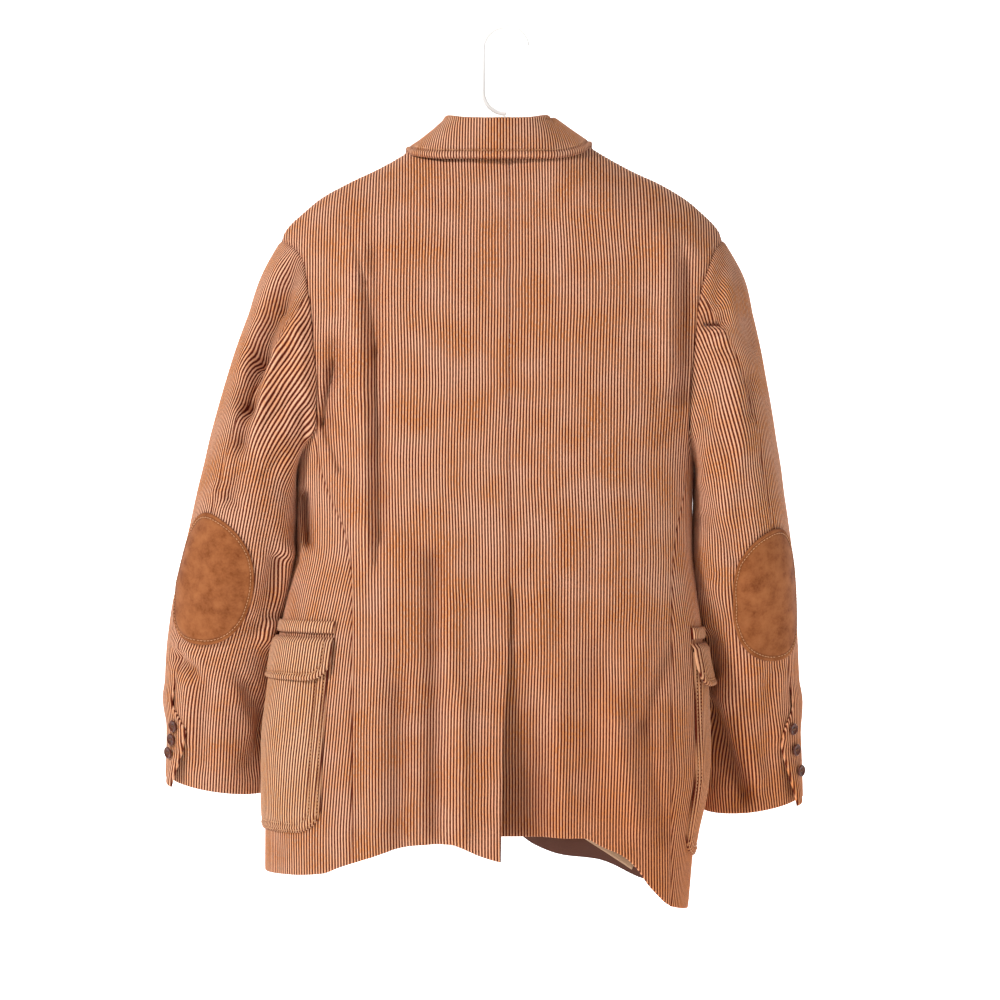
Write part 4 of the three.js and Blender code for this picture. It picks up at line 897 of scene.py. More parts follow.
sleeveRows = {
    left: table("at outX outZ inX inZ deep y", (0, 240, -231, 222, -467, 58, 0), (0.095, 264, -283, 224.5, -480, 62, 1),
                (0.267, 299, -380, 223.5, -516, 65, 4), (0.437, 325, -478, 224, -563, 62, 3),
                (0.603, 348, -575, 228, -612, 59, -8), (0.715, 363, -640, 237, -658, 54, -22),
                (0.823, 370, -705, 250, -712, 48, -32), (0.915, 368, -760, 256, -766, 43, -38),
                (1, 369, -811, 257, -827, 39, -48)),
    right: table("at outX outZ inX inZ deep y", (0, 236, -231, 204, -467, 58, 0), (0.095, 260, -283, 207.5, -482, 62, 1),
                 (0.267, 283, -380, 205, -516, 66, 4), (0.437, 299, -478, 204, -560, 66, 3),
                 (0.603, 313, -575, 205, -608, 61, -10), (0.715, 319, -640, 208, -655, 55, -28),
                 (0.823, 324, -705, 208, -710, 50, -42), (0.915, 326, -770, 212, -778, 45, -50),
                 (1, 327, -834, 217, -848, 40, -54)),
}
hindRows = table("at turn", (0, 60), (0.6, 52), (0.85, 38), (1, 17))
sleeve = {"blend": 0.3, "head": 5, "sag": 9, "foreSeam": -120, "lap": 24, "ventLift": 3.4, "flare": 11, "length": 600,
          "until": 0.82, "rise": 0.86, "lapped": 0.91, "upperRows": 120, "underRows": 96, "columns": 12}
sleeveFolds = {
    left: [(222, -266, 247, -308, 11, -6), (247, -308, 273, -398, 12, -7), (233, -560, 256, -662, 10, 4),
           (246, -577, 262, -645, 10, -5), (296, -508, 272, -500, 9, -4), (355, -682, 334, -698, 9, -4),
           (280, -735, 262, -755, 11, -5)],
    right: [(-216, -735, -261, -822, 12, -6), (-264, -665, -272, -830, 15, 4), (-207, -320, -230, -318, 10, -5),
            (-260, -380, -260, -415, 9, -3), (-234, -665, -232, -800, 12, -4)],
}
sleeveCreases = {
    left: [
        (217, -258, 235, -294, 9, -9), (235, -294, 257, -351, 11, -13), (257, -351, 271, -408, 11, -13),
        (271, -408, 277, -447, 11, -11), (237, -254, 257, -298, 9, 4), (261, -309, 280, -372, 9, 5),
        (242, -353, 257, -408, 8, 5), (257, -408, 267, -447, 8, 4), (293, -507, 280, -515, 6, -5),
        (305, -502, 274, -510, 8, 3), (232, -563, 257, -658, 8, 6), (241, -574, 251, -632, 7, -8),
        (257, -574, 269, -627, 8, 3), (352, -680, 335, -693, 6, -5), (348, -669, 327, -682, 7, 3),
        (275, -711, 257, -745, 8, -5), (288, -722, 274, -754, 9, 4), (257, -759, 274, -796, 9, -4),
        (322, -711, 327, -786, 11, -4), (341, -711, 343, -764, 8, 3), (280, -447, 288, -499, 9, -4),
        (216, -330, 210, -404, 9, 4), (212, -415, 216, -478, 8, -4), (227, -457, 237, -542, 12, 4),
        (214, -300, 236, -322, 5, -2.6), (218, -330, 244, -352, 5, 2.4), (214, -348, 246, -376, 5, -3),
        (216, -378, 252, -402, 5, 2.6), (216, -398, 250, -428, 5, -3), (222, -430, 256, -462, 6, 2.6),
        (224, -452, 252, -484, 6, -3), (262, -470, 292, -492, 8, -2.4), (286, -700, 276, -730, 7, -3),
        (358, -650, 344, -660, 6, -2.4), (330, -560, 346, -600, 9, 2), (262, -760, 284, -790, 8, -2.6),
    ],
    right: [
        (-213, -722, -261, -820, 9, -10), (-231, -711, -275, -802, 10, 6), (-204, -321, -229, -321, 6, -5),
        (-208, -334, -231, -336, 7, 3), (-261, -383, -261, -417, 7, -4), (-252, -394, -250, -478, 11, 3),
        (-245, -658, -248, -722, 12, 5), (-220, -658, -225, -711, 8, -7), (-282, -711, -284, -817, 10, -4),
        (-297, -701, -299, -764, 8, 3), (-214, -425, -237, -462, 7, -4), (-212, -489, -239, -531, 8, 3.5),
        (-214, -531, -244, -574, 8, -4), (-225, -600, -252, -637, 8, 3.5), (-231, -235, -225, -298, 8, -5),
        (-246, -256, -263, -341, 10, -4), (-255, -478, -245, -552, 11, -3),
        (-208, -344, -234, -352, 7, -2.4), (-214, -500, -236, -540, 8, -2.4),
        (-270, -700, -286, -760, 12, 2.4), (-290, -690, -300, -740, 10, -2.6),
        (-240, -700, -256, -750, 9, 2.4), (-262, -430, -280, -500, 13, -2),
    ],
}


def sleeveFrame(side, at):
    rows = sleeveRows[side]
    edges = []
    for edge in ("out", "in"):
        x, z = (read(rows, "at", at, edge + axis) for axis in "XZ")
        edges.append(np.stack([side * x, read(rows, "at", at, "y"), z], -1))
    half = (edges[0] - edges[1]) / 2
    square = unit(np.stack([-half[..., 2], 0 * half[..., 0], half[..., 0]], -1))
    return (edges[0] + edges[1]) / 2, half, square, read(rows, "at", at, "deep")


def sleevePoint(side, at, turn, fine=1):  # at runs from the shoulder to the cuff, turn round the arm from outside
    at, turn = np.broadcast_arrays(np.asarray(at, float), np.asarray(turn, float))
    centre, half, square, deep = sleeveFrame(side, at)
    startCentre, startHalf, startSquare, startDeep = sleeveFrame(side, 0.0)
    loop = armholePoint(side, turn % 360, fine) - startCentre
    blend = smooth(at / sleeve["blend"])
    c, s = np.cos(np.radians(turn)), np.sin(np.radians(turn))
    alpha = lerp(loop @ startHalf / (startHalf @ startHalf), c, blend)
    beta = lerp(loop[..., 1] / startDeep, s, blend)
    gamma = loop @ startSquare * (1 - blend)
    p = centre + half * alpha[..., None] + square * gamma[..., None]
    p[..., 1] += deep * beta
    outward = unit(half) * c[..., None]
    outward[..., 1] += s
    push = sleeve["head"] * np.sin(np.pi * np.clip(at / 0.14, 0, 1)) * np.maximum(0, c)
    if fine:
        fade = smooth(at / 0.05) * smooth((s - 0.05) / 0.5)
        push = push + foldHeight(sleeveFolds[side] + sleeveCreases[side], p[..., 0], p[..., 2]) * fade
    p = p + outward * push[..., None]
    p[..., 2] -= sleeve["sag"] * np.maximum(0, s) * smooth((at - 0.8) / 0.2)
    return p


def hindTurn(at):
    return read(hindRows, "at", at, "turn")


def sleeveNormal(side, at, turn):
    low = np.maximum(at - 0.004, 0)
    along = sleevePoint(side, low + 0.008, turn) - sleevePoint(side, low, turn)
    across = sleevePoint(side, at, turn + 1.5) - sleevePoint(side, at, turn - 1.5)
    return -side * unit(np.cross(across, along))


def sleeveGrid(side, at, low, high, middle):  # ribs of the under sleeve are counted square to the arm's axis
    samples = np.linspace(low.min() - 2, high.max() + 2, 200)
    points = sleevePoint(side, at[:, None], samples[None, :], 0)
    if middle == 0:
        arcs = arcLengths(points, samples, middle)
        return wovenGrid(lambda a: at[:, None] + 0 * a, arcs, samples, low, high, 4, sleeve["length"])
    centre, half, _, _ = sleeveFrame(side, at)
    axis = unit(sleeveFrame(side, np.minimum(at + 0.1, 1))[0] - sleeveFrame(side, np.maximum(at - 0.1, 0))[0])
    across = unit(half - axis * np.einsum("ij,ij->i", half, axis)[:, None])
    away = points - centre[:, None]
    round = np.degrees(np.arctan2(away[..., 1], np.einsum("ijk,ik->ij", away, across)))
    round = samples + (round - samples + 180) % 360 - 180
    steps = np.diff(points, axis=1)
    steps = steps - np.einsum("ijk,ik->ij", steps, axis)[..., None] * axis[:, None]
    arcs = np.append(np.zeros((len(at), 1)), np.cumsum(np.linalg.norm(steps, axis=-1), 1), axis=1)
    arcs = arcs - np.array([np.interp(middle, r, w) for r, w in zip(round, arcs)])[:, None]
    return wovenGrid(lambda a: at[:, None] + 0 * a, arcs, samples, low, high, 4, sleeve["length"])


def sleeveShade(side, p, turn):
    # painted shade in the sleeve's troughs, faded out on its front half
    fold = foldHeight(sleeveFolds[side] + sleeveCreases[side], p[..., 0], p[..., 2])
    return foldShade(fold * smooth(np.sin(np.radians(turn)) / 0.4))


def makeSleeve(side):
    gapTurn = np.degrees(cloth["seamGap"] / 2 / 57)
    foldSteps = 1 - np.array(cloth["hemSteps"])[::-1] / sleeve["length"]
    at = np.append(np.linspace(0, foldSteps[0], sleeve["upperRows"]), foldSteps[1:])
    lap = smooth((at - sleeve["rise"]) / (sleeve["lapped"] - sleeve["rise"]))
    low = np.full(len(at), sleeve["foreSeam"] + gapTurn)
    high = hindTurn(at) - gapTurn + np.degrees(sleeve["lap"] / 50) * lap
    turn, u, place, toSeam = sleeveGrid(side, at, low, high, 0)
    column = (turn - low[:, None]) / (high - low)[:, None] * sleeve["columns"]
    base, n = sleevePoint(side, place, turn), sleeveNormal(side, place, turn)
    base[0, :, 0] += side * cloth["seamGap"] / 2
    count = sleeve["columns"]
    over = smooth((column - count + 4) / 2) * smooth((place - sleeve["until"]) / (sleeve["rise"] - sleeve["until"]))
    corner = smooth((place - 0.9) / 0.1) * smooth((column - count + 2) / 2)
    base = base + n * (sleeve["ventLift"] * over + sleeve["flare"] * corner)[..., None]
    atVent = smooth((place - sleeve["until"]) / 0.04) * (column > count / 2)
    toHead = place * sleeve["length"]
    seam = np.maximum(seamRelief(toSeam) * (1 - atVent), seamRelief(toHead))
    top = weave(u) * (1 - 0.6 * seam) - cloth["seamDip"] * seam + 0.5 * waviness(turn, toHead, 32, 21 + side)
    top += edgeDrop((1 - place) * sleeve["length"]) + np.where(atVent > 0.5, edgeDrop(toSeam), 0)
    shade = np.maximum(cloth["seamPress"] * seam, sleeveShade(side, base, turn))
    name = "upperSleeve" + sideName[side].capitalize()
    piece = addCloth(name, base, n, top, cloth["wall"], u, toHead, shade, [brushedCorduroy, lining])
    dressed(piece, "corduroy", "upper_sleeve_" + sideName[side])

    at = np.append(np.linspace(0, foldSteps[0], sleeve["underRows"]), foldSteps[1:])
    low = hindTurn(at) + gapTurn
    high = np.full(len(at), 360 + sleeve["foreSeam"] - gapTurn)
    turn, u, place, toSeam = sleeveGrid(side, at, low, high, 150)
    base, n = sleevePoint(side, place, turn), sleeveNormal(side, place, turn)
    base[0, :, 0] += side * cloth["seamGap"] / 2
    toHead = place * sleeve["length"]
    seam = np.maximum(seamRelief(toSeam), seamRelief(toHead))
    top = weave(u) * (1 - 0.6 * seam) - cloth["seamDip"] * seam + 0.5 * waviness(turn, toHead, 32, 25 + side)
    top += edgeDrop((1 - place) * sleeve["length"])
    shade = np.maximum(cloth["seamPress"] * seam, sleeveShade(side, base, turn))
    name = "underSleeve" + sideName[side].capitalize()
    piece = addCloth(name, base, n, top, cloth["wall"], u, toHead, shade, [brushedCorduroy, lining])
    dressed(piece, "corduroy", "under_sleeve_" + sideName[side])


for side in (left, right):
    makeSleeve(side)
print("sleeves made")

# Collar: sections from the middle of the back to the front end, with roll line, outer edge and foot

collarRows = table(
    "turn rollX rollY rollZ edgeX edgeY edgeZ footX footY footZ",
    (0, 0, 62, -109, 0, 72, -149, 0, 58, -136.6),
    (40, 36, 54, -107, 56, 66, -148, 40, 49, -130),
    (75, 57, 25, -102, 93, 36, -140, 61, 21, -116),
    (100, 59, -4, -102, 99, -4, -132, 61, -4, -112),
    (135, 59, -34, -118, 104, -52, -170, 57, -28, -126),
    (170, 58, -62, -160, 101, -84, -224, 54, -52, -166),
)
collar = {"rollRadius": 4.5, "thick": 2.4, "clear": 4.2, "bow": 0.8, "end": 170, "fallRows": 26, "rollRows": 7,
          "standRows": 8, "welt": 8.5}


def torsoLevel(p):  # above 0 outside the torso, also over its shoulders
    x, y, z = p[..., 0], p[..., 1], p[..., 2]
    side = np.where(x < torso["seamX"], right, left)
    share = np.clip(1 - (np.abs(x - torso["seamX"]) / halfWidth(side, z)) ** torso["squareness"], 0.01, 1)
    deep = np.where(y > 0, read(torsoRows, "z", z, "back"), read(torsoRows, "z", z, "front"))
    q = np.minimum(1, (shoulderZ(x) - z) / torso["shoulderRound"])
    return (y / (deep * share ** (1 / torso["squareness"]))) ** 2 + (1 - q) ** 2 - 1


def clearOfTorso(p, distance):  # moves points out to at least a distance from the torso
    for _ in range(4):
        level = torsoLevel(p)
        slope = np.stack([2 * (torsoLevel(p + 0.5 * axis) - level) for axis in np.eye(3)], -1)
        size = np.linalg.norm(slope, axis=-1)
        short = np.maximum(distance - level / size, 0)
        p = p + slope / size[..., None] * short[..., None]
    return p


def collarPoint(turn, v):  # v is 0 at the fall's edge, 1 and 2 where the roll starts and ends, and 3 at the foot
    turn, v = np.broadcast_arrays(np.asarray(turn, float), np.asarray(v, float))
    side = np.where(turn < 0, right, left)

    def place(name):
        x, y, z = (read(collarRows, "turn", np.abs(turn), name + axis) for axis in "XYZ")
        return np.stack([torso["neckX"] + side * x, y, z], -1)

    roll, edge, foot = place("roll"), place("edge"), place("foot")
    ahead = smooth((-10 - roll[..., 1]) / 20)[..., None]
    toNeck = np.stack([torso["neckX"] - roll[..., 0], -roll[..., 1], 0 * v], -1)
    inward = unit(lerp(unit(toNeck), unit(np.stack([-1.0 * side, 0.3 + 0 * v, 0 * v], -1)), ahead))
    t = np.clip(1 - v, 0, 1)[..., None]
    fall = clearOfTorso(roll + (edge - roll) * t - inward * collar["bow"] * np.sin(np.pi * t), collar["clear"])
    r = collar["rollRadius"]
    angle = np.pi * np.clip(v - 1, 0, 1)[..., None]
    over = roll + inward * r * (1 - np.cos(angle)) + r * np.sin(angle) * np.array([0, 0, 1])
    down = lerp(roll + inward * 2 * r, foot + inward * (2 * r - 1), np.clip(v - 2, 0, 1)[..., None])
    return np.where((v <= 1)[..., None], fall, np.where((v <= 2)[..., None], over, down))


def makeCollar():
    edgeV = np.array(cloth["hemSteps"]) / 42
    v = np.concatenate([edgeV, np.linspace(edgeV[-1], 1, collar["fallRows"])[1:],
                        np.linspace(1, 2, collar["rollRows"] + 1)[1:], np.linspace(2, 3, collar["standRows"] + 1)[1:]])
    samples = np.linspace(-collar["end"], collar["end"], 341)
    arcs = arcLengths(collarPoint(samples[None, :], v[:, None]), samples, 0)
    end = np.full(len(v), float(collar["end"]))
    turn, u, row, toEnd = wovenGrid(lambda a: v[:, None] + 0 * a, arcs, samples, -end, end, 4)
    base = collarPoint(turn, row)
    n = unit(np.cross(collarPoint(turn, np.minimum(row + 0.02, 3)) - collarPoint(turn, np.maximum(row - 0.02, 0)),
                      collarPoint(turn + 0.6, row) - collarPoint(turn - 0.6, row)))
    steps = np.linalg.norm(np.diff(base, axis=0), axis=-1)
    down = np.concatenate([0 * steps[:1], np.cumsum(steps, 0)])
    toEdge = np.minimum(down, np.where(row < 1.2, toEnd, 99))
    weltShape = 1.0 * np.exp(-((toEdge - 4) / 2.6) ** 2) - 1.1 * np.exp(-((toEdge - collar["welt"]) / 1.2) ** 2)
    crest = 0.5 * np.exp(-((row - 1.4) / 0.3) ** 2)
    top = weave(u) + weltShape + edgeDrop(toEdge, 1.8) + crest * waviness(turn * 2, row * 20, 30, 5)
    # darkens along the welt's stitch line, and at the edge as painted contact shade together with edge wear
    pressAndShade = 0.9 * np.exp(-((toEdge - collar["welt"]) / 1.5) ** 2) + 0.5 * np.exp(-(toEdge / 0.9) ** 2)
    piece = addCloth("collar1", base, n, top, collar["thick"], u, down, pressAndShade, [brushedCorduroy])
    dressed(piece, "corduroy", "collar")
    line = np.linspace(-collar["end"] + 8, collar["end"] - 8, 500)
    level = collar["welt"] / 42
    spots = collarPoint(line, level)
    up = unit(np.cross(collarPoint(line, level + 0.02) - spots, collarPoint(line + 0.6, level) - spots))
    addStitches("collarStitches", spots + up * 0.35, up, "corduroy")


makeCollar()
print("collar made")

# Elbow patches

patch = {
    left: {"at": 0.62, "turn": 66},
    right: {"at": 0.655, "turn": 62},
    "halfAlong": 78,
    "halfAcross": 45,
    "lift": 1.65,
    "thick": 1.8,
    "girth": 57,
    "rings": 44,
    "spokes": 150,
    "seam": 4.2,
}


def makePatch(side):
    def spot(share, angle):
        c, s = np.cos(angle), np.sin(angle)
        oval = (np.abs(c) ** 2.5 + np.abs(s) ** 2.5) ** (-1 / 2.5)
        at = patch[side]["at"] + share * oval * c * patch["halfAlong"] / sleeve["length"]
        turn = patch[side]["turn"] + np.degrees(share * oval * s * patch["halfAcross"] / patch["girth"])
        return sleevePoint(side, at, turn), sleeveNormal(side, at, turn)

    shares = np.append(np.linspace(0, 0.955, patch["rings"]), [0.97, 0.982, 0.992, 1])[:, None]
    angles = np.linspace(0, 2 * np.pi, patch["spokes"] + 1)[None, :]
    base, n = spot(shares, angles)
    size = 0.5 * (patch["halfAlong"] + patch["halfAcross"]) - 3
    toEdge = (1 - shares) * size + 0 * angles
    line = np.exp(-((toEdge - patch["seam"]) / 1.1) ** 2)
    soft = 0.35 * waviness(base[..., 0], base[..., 2], 13, 41) * smooth(toEdge / 12)
    top = patch["thick"] + 0.5 * smooth((toEdge - 5) / 20) - 0.7 * line + edgeDrop(toEdge, 1.4) + soft
    under = base + n * patch["lift"]
    # the stitch line darkens, and the rim darkens as painted contact shade together with edge wear
    piece = addCloth("elbowPatch" + sideName[side].capitalize(), under, n, top, 0, shares * 20 + 0 * angles,
                     angles * 40 + 0 * shares, 0.8 * line + 0.5 * np.exp(-(toEdge / 0.8) ** 2), [nappedSuede], ring=True)
    dressed(piece, "suede", "elbow_patch_" + sideName[side])
    ring, up = spot(np.array(1 - patch["seam"] / size), angles[0])
    height = patch["lift"] + patch["thick"] + 0.05
    addStitches("patchStitches" + sideName[side].capitalize(), ring + up * height, up, "suede")


for side in (left, right):
    makePatch(side)
print("elbow patches made")

# Patch pockets, their flaps, and the band sewn above each flap

pocket = {
    left: {"from": 44, "to": 131, "top": -664, "bottom": -862, "flare": 2.5},
    right: {"from": 66, "to": 153, "top": -672, "bottom": -890, "flare": 7},
    "corner": 26,
    "wide": 190,
    "thick": 2.2,
    "bulge": 4,
    "rows": 56,
    "stitches": (2.2, 9.6),
    "flapHigh": 46,
    "flapRise": 9,
    "flapThick": 2.4,
    "bandHigh": 13,
    "bandAbove": 17,
    "bandThick": 1.6,
}


def edgeDistance(side, u, z, bottom, corner):  # from a rounded pocket's or flap's edge, in mm
    toSide = np.minimum(u, 1 - u) * pocket["wide"]
    cx, cz = np.maximum(corner - toSide, 0), np.maximum(corner - (z - bottom), 0)
    return np.where((cx > 0) & (cz > 0), corner - np.hypot(cx, cz), np.minimum(toSide, z - bottom))


def pocketSpot(side, u, z, stretch):
    place = pocket[side]
    middle, half = (place["from"] + place["to"]) / 2, (place["to"] - place["from"]) / 2 * stretch
    angle = np.radians(middle + half * (2 * u - 1))

    def surface(a, b):
        return torsoPoint(side, a, b, 1)

    return surface(angle, z), normalOf(surface, -side, angle, z, 0.01, 1)


def pocketGrid(side, bottom, topZ, corner, rows, stretch):
    place = pocket[side]
    steps = np.array(cloth["hemSteps"])
    f = np.concatenate([steps / (topZ - bottom), np.linspace(steps[-1] / (topZ - bottom), 1, rows)[1:]])
    samples = np.linspace(0, 1, 160)

    def line(u):
        u = np.clip(np.asarray(u, float), 0, 1)
        short = np.maximum(corner - np.minimum(u, 1 - u) * pocket["wide"], 0)
        low = bottom + corner - np.sqrt(corner ** 2 - np.minimum(short, corner) ** 2)
        return lerp(low, topZ, f[:, None] if u.ndim == 2 else f)

    middle, half = (place["from"] + place["to"]) / 2, (place["to"] - place["from"]) / 2 * stretch
    angles = np.radians(middle + half * (2 * samples - 1))
    arcs = arcLengths(torsoPoint(side, angles[None, :], line(0.5)[:, None]), samples, 0.5)
    ends = np.ones(len(f))
    return wovenGrid(line, arcs, samples, 0 * ends, ends, 4)


def edgeLine(bottom, topZ, corner, inset, ends=True):  # places along a rounded edge, at an inset from it
    r = corner - inset
    arc = np.linspace(0, np.pi / 2, 24)
    x = np.concatenate([[inset], corner - r * np.cos(arc)])
    z = np.concatenate([[topZ], bottom + corner - r * np.sin(arc)])
    across = np.linspace(corner, pocket["wide"] - corner, 60)[1:-1]
    x = np.concatenate([x, across, pocket["wide"] - x[::-1]])
    z = np.concatenate([z, 0 * across + bottom + inset, z[::-1]])
    steps = np.append(0, np.cumsum(np.hypot(np.diff(x), np.diff(z))))
    even = np.linspace(0, steps[-1], 500)
    return np.interp(even, steps, x) / pocket["wide"], np.interp(even, steps, z)


def makePocket(side):
    place = pocket[side]
    ending = sideName[side].capitalize()
    corner, bottom, topZ = pocket["corner"], place["bottom"], place["top"]
    u, rib, z, _ = pocketGrid(side, bottom, topZ, corner, pocket["rows"], 1)
    base, n = pocketSpot(side, u, z, 1)
    toEdge = edgeDistance(side, u, z, bottom, corner)
    f = np.clip((z - bottom) / (topZ - bottom), 0, 1)
    air = cloth["lift"] + pocket["bulge"] * np.sin(np.pi * f) * np.sin(np.pi * u)
    lines = sum(np.exp(-((toEdge - q) / 1.2) ** 2) for q in pocket["stitches"])
    welt = 0.7 * np.exp(-((toEdge - 6) / 2.4) ** 2)
    top = pocket["thick"] + weave(rib) * (1 - 0.5 * lines) - 0.8 * lines + welt + edgeDrop(toEdge)
    top += 0.8 * waviness(u * 190, z, 42, 51 + side) * smooth(toEdge / 20)
    # stitch lines darken, and the rim darkens as painted contact shade together with edge wear
    pressAndShade = 0.75 * lines + 0.6 * np.exp(-(toEdge / 0.9) ** 2)
    bag = addCloth("pocket" + ending, base + n * air[..., None], n, top, 0, rib, z, pressAndShade, [pocketCorduroy])
    dressed(bag, "trim", "pocket_" + sideName[side])
    for k, q in enumerate(pocket["stitches"]):
        share, height = edgeLine(bottom, topZ - 12, corner, q)
        spots, up = pocketSpot(side, share, height, 1)
        f = np.clip((height - bottom) / (topZ - bottom), 0, 1)
        out = cloth["lift"] + pocket["bulge"] * np.sin(np.pi * f) * np.sin(np.pi * share) + pocket["thick"]
        addStitches("pocketStitches" + ending + str(k + 1), spots + up * out[:, None], up, "trim")

    flapTop = topZ + pocket["flapRise"]
    low, corner = flapTop - pocket["flapHigh"], pocket["corner"] * 0.8
    u, rib, z, _ = pocketGrid(side, low, flapTop, corner, 22, 1.03)
    base, n = pocketSpot(side, u, z, 1.03)
    f = np.clip((z - low) / (flapTop - low), 0, 1)
    stand = cloth["lift"] + pocket["thick"] + 1.1 + place["flare"] * (1 - f) ** 1.6
    air = lerp(stand, cloth["lift"], smooth((f - 0.86) / 0.14))
    toEdge = edgeDistance(side, u, z, low, corner)
    line = np.exp(-((toEdge - 7) / 1.2) ** 2)
    top = pocket["flapThick"] + weave(rib) * (1 - 0.4 * line) - 0.9 * line + 0.7 * np.exp(-((toEdge - 3.5) / 2) ** 2)
    top += edgeDrop(toEdge, 1.8) + 0.5 * waviness(u * 190, z, 30, 61 + side)
    # the stitch line darkens, the rim darkens as painted contact shade together with edge wear, and the top darkens as
    # painted shade under the band
    pressAndShade = 0.7 * line + 0.5 * np.exp(-(toEdge / 0.8) ** 2) + 0.8 * smooth((f - 0.93) / 0.07)
    lid = addCloth("pocketFlap" + ending, base + n * air[..., None], n, top, 0, rib, z, pressAndShade, [pocketCorduroy])
    dressed(lid, "trim", "pocket_flap_" + sideName[side])
    share, height = edgeLine(low, flapTop - 4, corner, 7)
    spots, up = pocketSpot(side, share, height, 1.03)
    f = np.clip((height - low) / (flapTop - low), 0, 1)
    out = cloth["lift"] + pocket["thick"] + 1.1 + place["flare"] * (1 - f) ** 1.6 + pocket["flapThick"]
    addStitches("flapStitches" + ending, spots + up * out[:, None], up, "trim")

    bandTop = flapTop + pocket["bandAbove"]
    bandLow = bandTop - pocket["bandHigh"]
    u, rib, z, toEnd = pocketGrid(side, bandLow, bandTop, 0.5, 12, 1.02)
    base, n = pocketSpot(side, u, z, 1.02)
    f = np.clip((z - bandLow) / (bandTop - bandLow), 0, 1)
    swell = 1.3 * (1 - np.abs(2 * f - 1) ** 4) * smooth(toEnd / 3)
    top = pocket["bandThick"] + swell + 0.7 * weave(rib)
    # painted shade: dark lines along the band's lower edge, over the flap, and along its upper edge
    pressAndShade = 0.9 * smooth(1 - f / 0.14) + 0.7 * smooth((f - 0.9) / 0.1)
    strip = addCloth("flapBand" + ending, base + n * cloth["lift"], n, top, 0, rib, z, pressAndShade, [pocketCorduroy])
    dressed(strip, "trim", "flap_band_" + sideName[side])


for side in (left, right):
    makePocket(side)
print("pockets, flaps and bands made")

# Buttons

cuffButton = {"radius": 6.6, "thick": 3.4, "count": 3, left: (0.9, 0.023), right: (0.895, 0.03)}
frontButton = {"radius": 10.5, "thick": 4.4, "heights": (-578, -688)}
buttonShape = [(0, 0), (0.55, 0), (0.62, 0.25), (0.9, 0.38), (0.97, 0.5), (1, 0.66), (0.98, 0.82), (0.92, 0.94),
               (0.84, 1), (0.77, 0.97), (0.71, 0.88), (0.62, 0.82), (0.4, 0.79), (0, 0.78)]


def makeButton(name, node, place, normal, size):
    r, t = size["radius"], size["thick"]
    _, one, two = lathe([(0, 0)], place, normal, 4)
    parts = [(*lathe([(r * a, t * b) for a, b in buttonShape], place, normal, 44)[0], 0)]
    # a near-black disc on each button hole: painted shade standing in for the hole's depth
    for a in (-1, 1):
        for b in (-1, 1):
            spot = place + (one * a + two * b) * 0.2 * r + normal * 0.74 * t
            parts.append((*lathe([(0, 0), (0.12 * r, 0), (0.12 * r, 0.06 * t), (0, 0.06 * t)], spot, normal, 14)[0], 1))
    for a in (-1, 1):
        bar = np.linspace(-1, 1, 11)
        path = place + one * a * 0.2 * r + two * bar[:, None] * 0.2 * r
        path = path + normal * (t * (0.84 - 0.12 * bar[:, None] ** 4))
        ring = tube(path, 0.07 * r * np.sqrt(np.maximum(1 - bar ** 8, 0)), normal, 8)
        parts.append((*ring, 2))
    points, faces, kinds = joined(parts)
    piece = addMesh(name, points, faces, [resinButton, holeShade, buttonThread], kinds, points[:, [0, 2]], sharp=50)
    dressed(piece, "button", node)


for side in (left, right):
    start, step = cuffButton[side]
    for k in range(cuffButton["count"]):
        at = start + k * step
        turn = hindTurn(at) + 9
        n = sleeveNormal(side, at, turn)
        above = sleeve["ventLift"] + 0.5 + 0.6 * sleeve["flare"] * smooth((at - 0.9) / 0.1)
        place = sleevePoint(side, at, turn, 1) + n * above
        name, node = "cuffButton" + sideName[side].capitalize(), "cuff_button_" + sideName[side]
        makeButton(name + str(k + 1), node + "_" + str(k + 1), place, n, cuffButton)
for k, z in enumerate(frontButton["heights"]):
    n = normalOf(frontSurface(left), 1, torso["seamX"], z, 1, 2)
    place = frontSurface(left)(torso["seamX"], z) + n * 0.8
    makeButton("frontButton" + str(k + 1), "front_button_" + str(k + 1), place, n, frontButton)
print("buttons made")

# Hanger

hanger = {"rod": 2.4, "bend": 24.4, "x": -2, "upperZ": -22, "lowerZ": -67.5, "tip": 168, "neckRadius": 7.5,
          "neckTop": -94.8, "neckBottom": -116, "reach": 206, "deep": 26, "high": 11, "below": 7, "centreTop": -116.4}


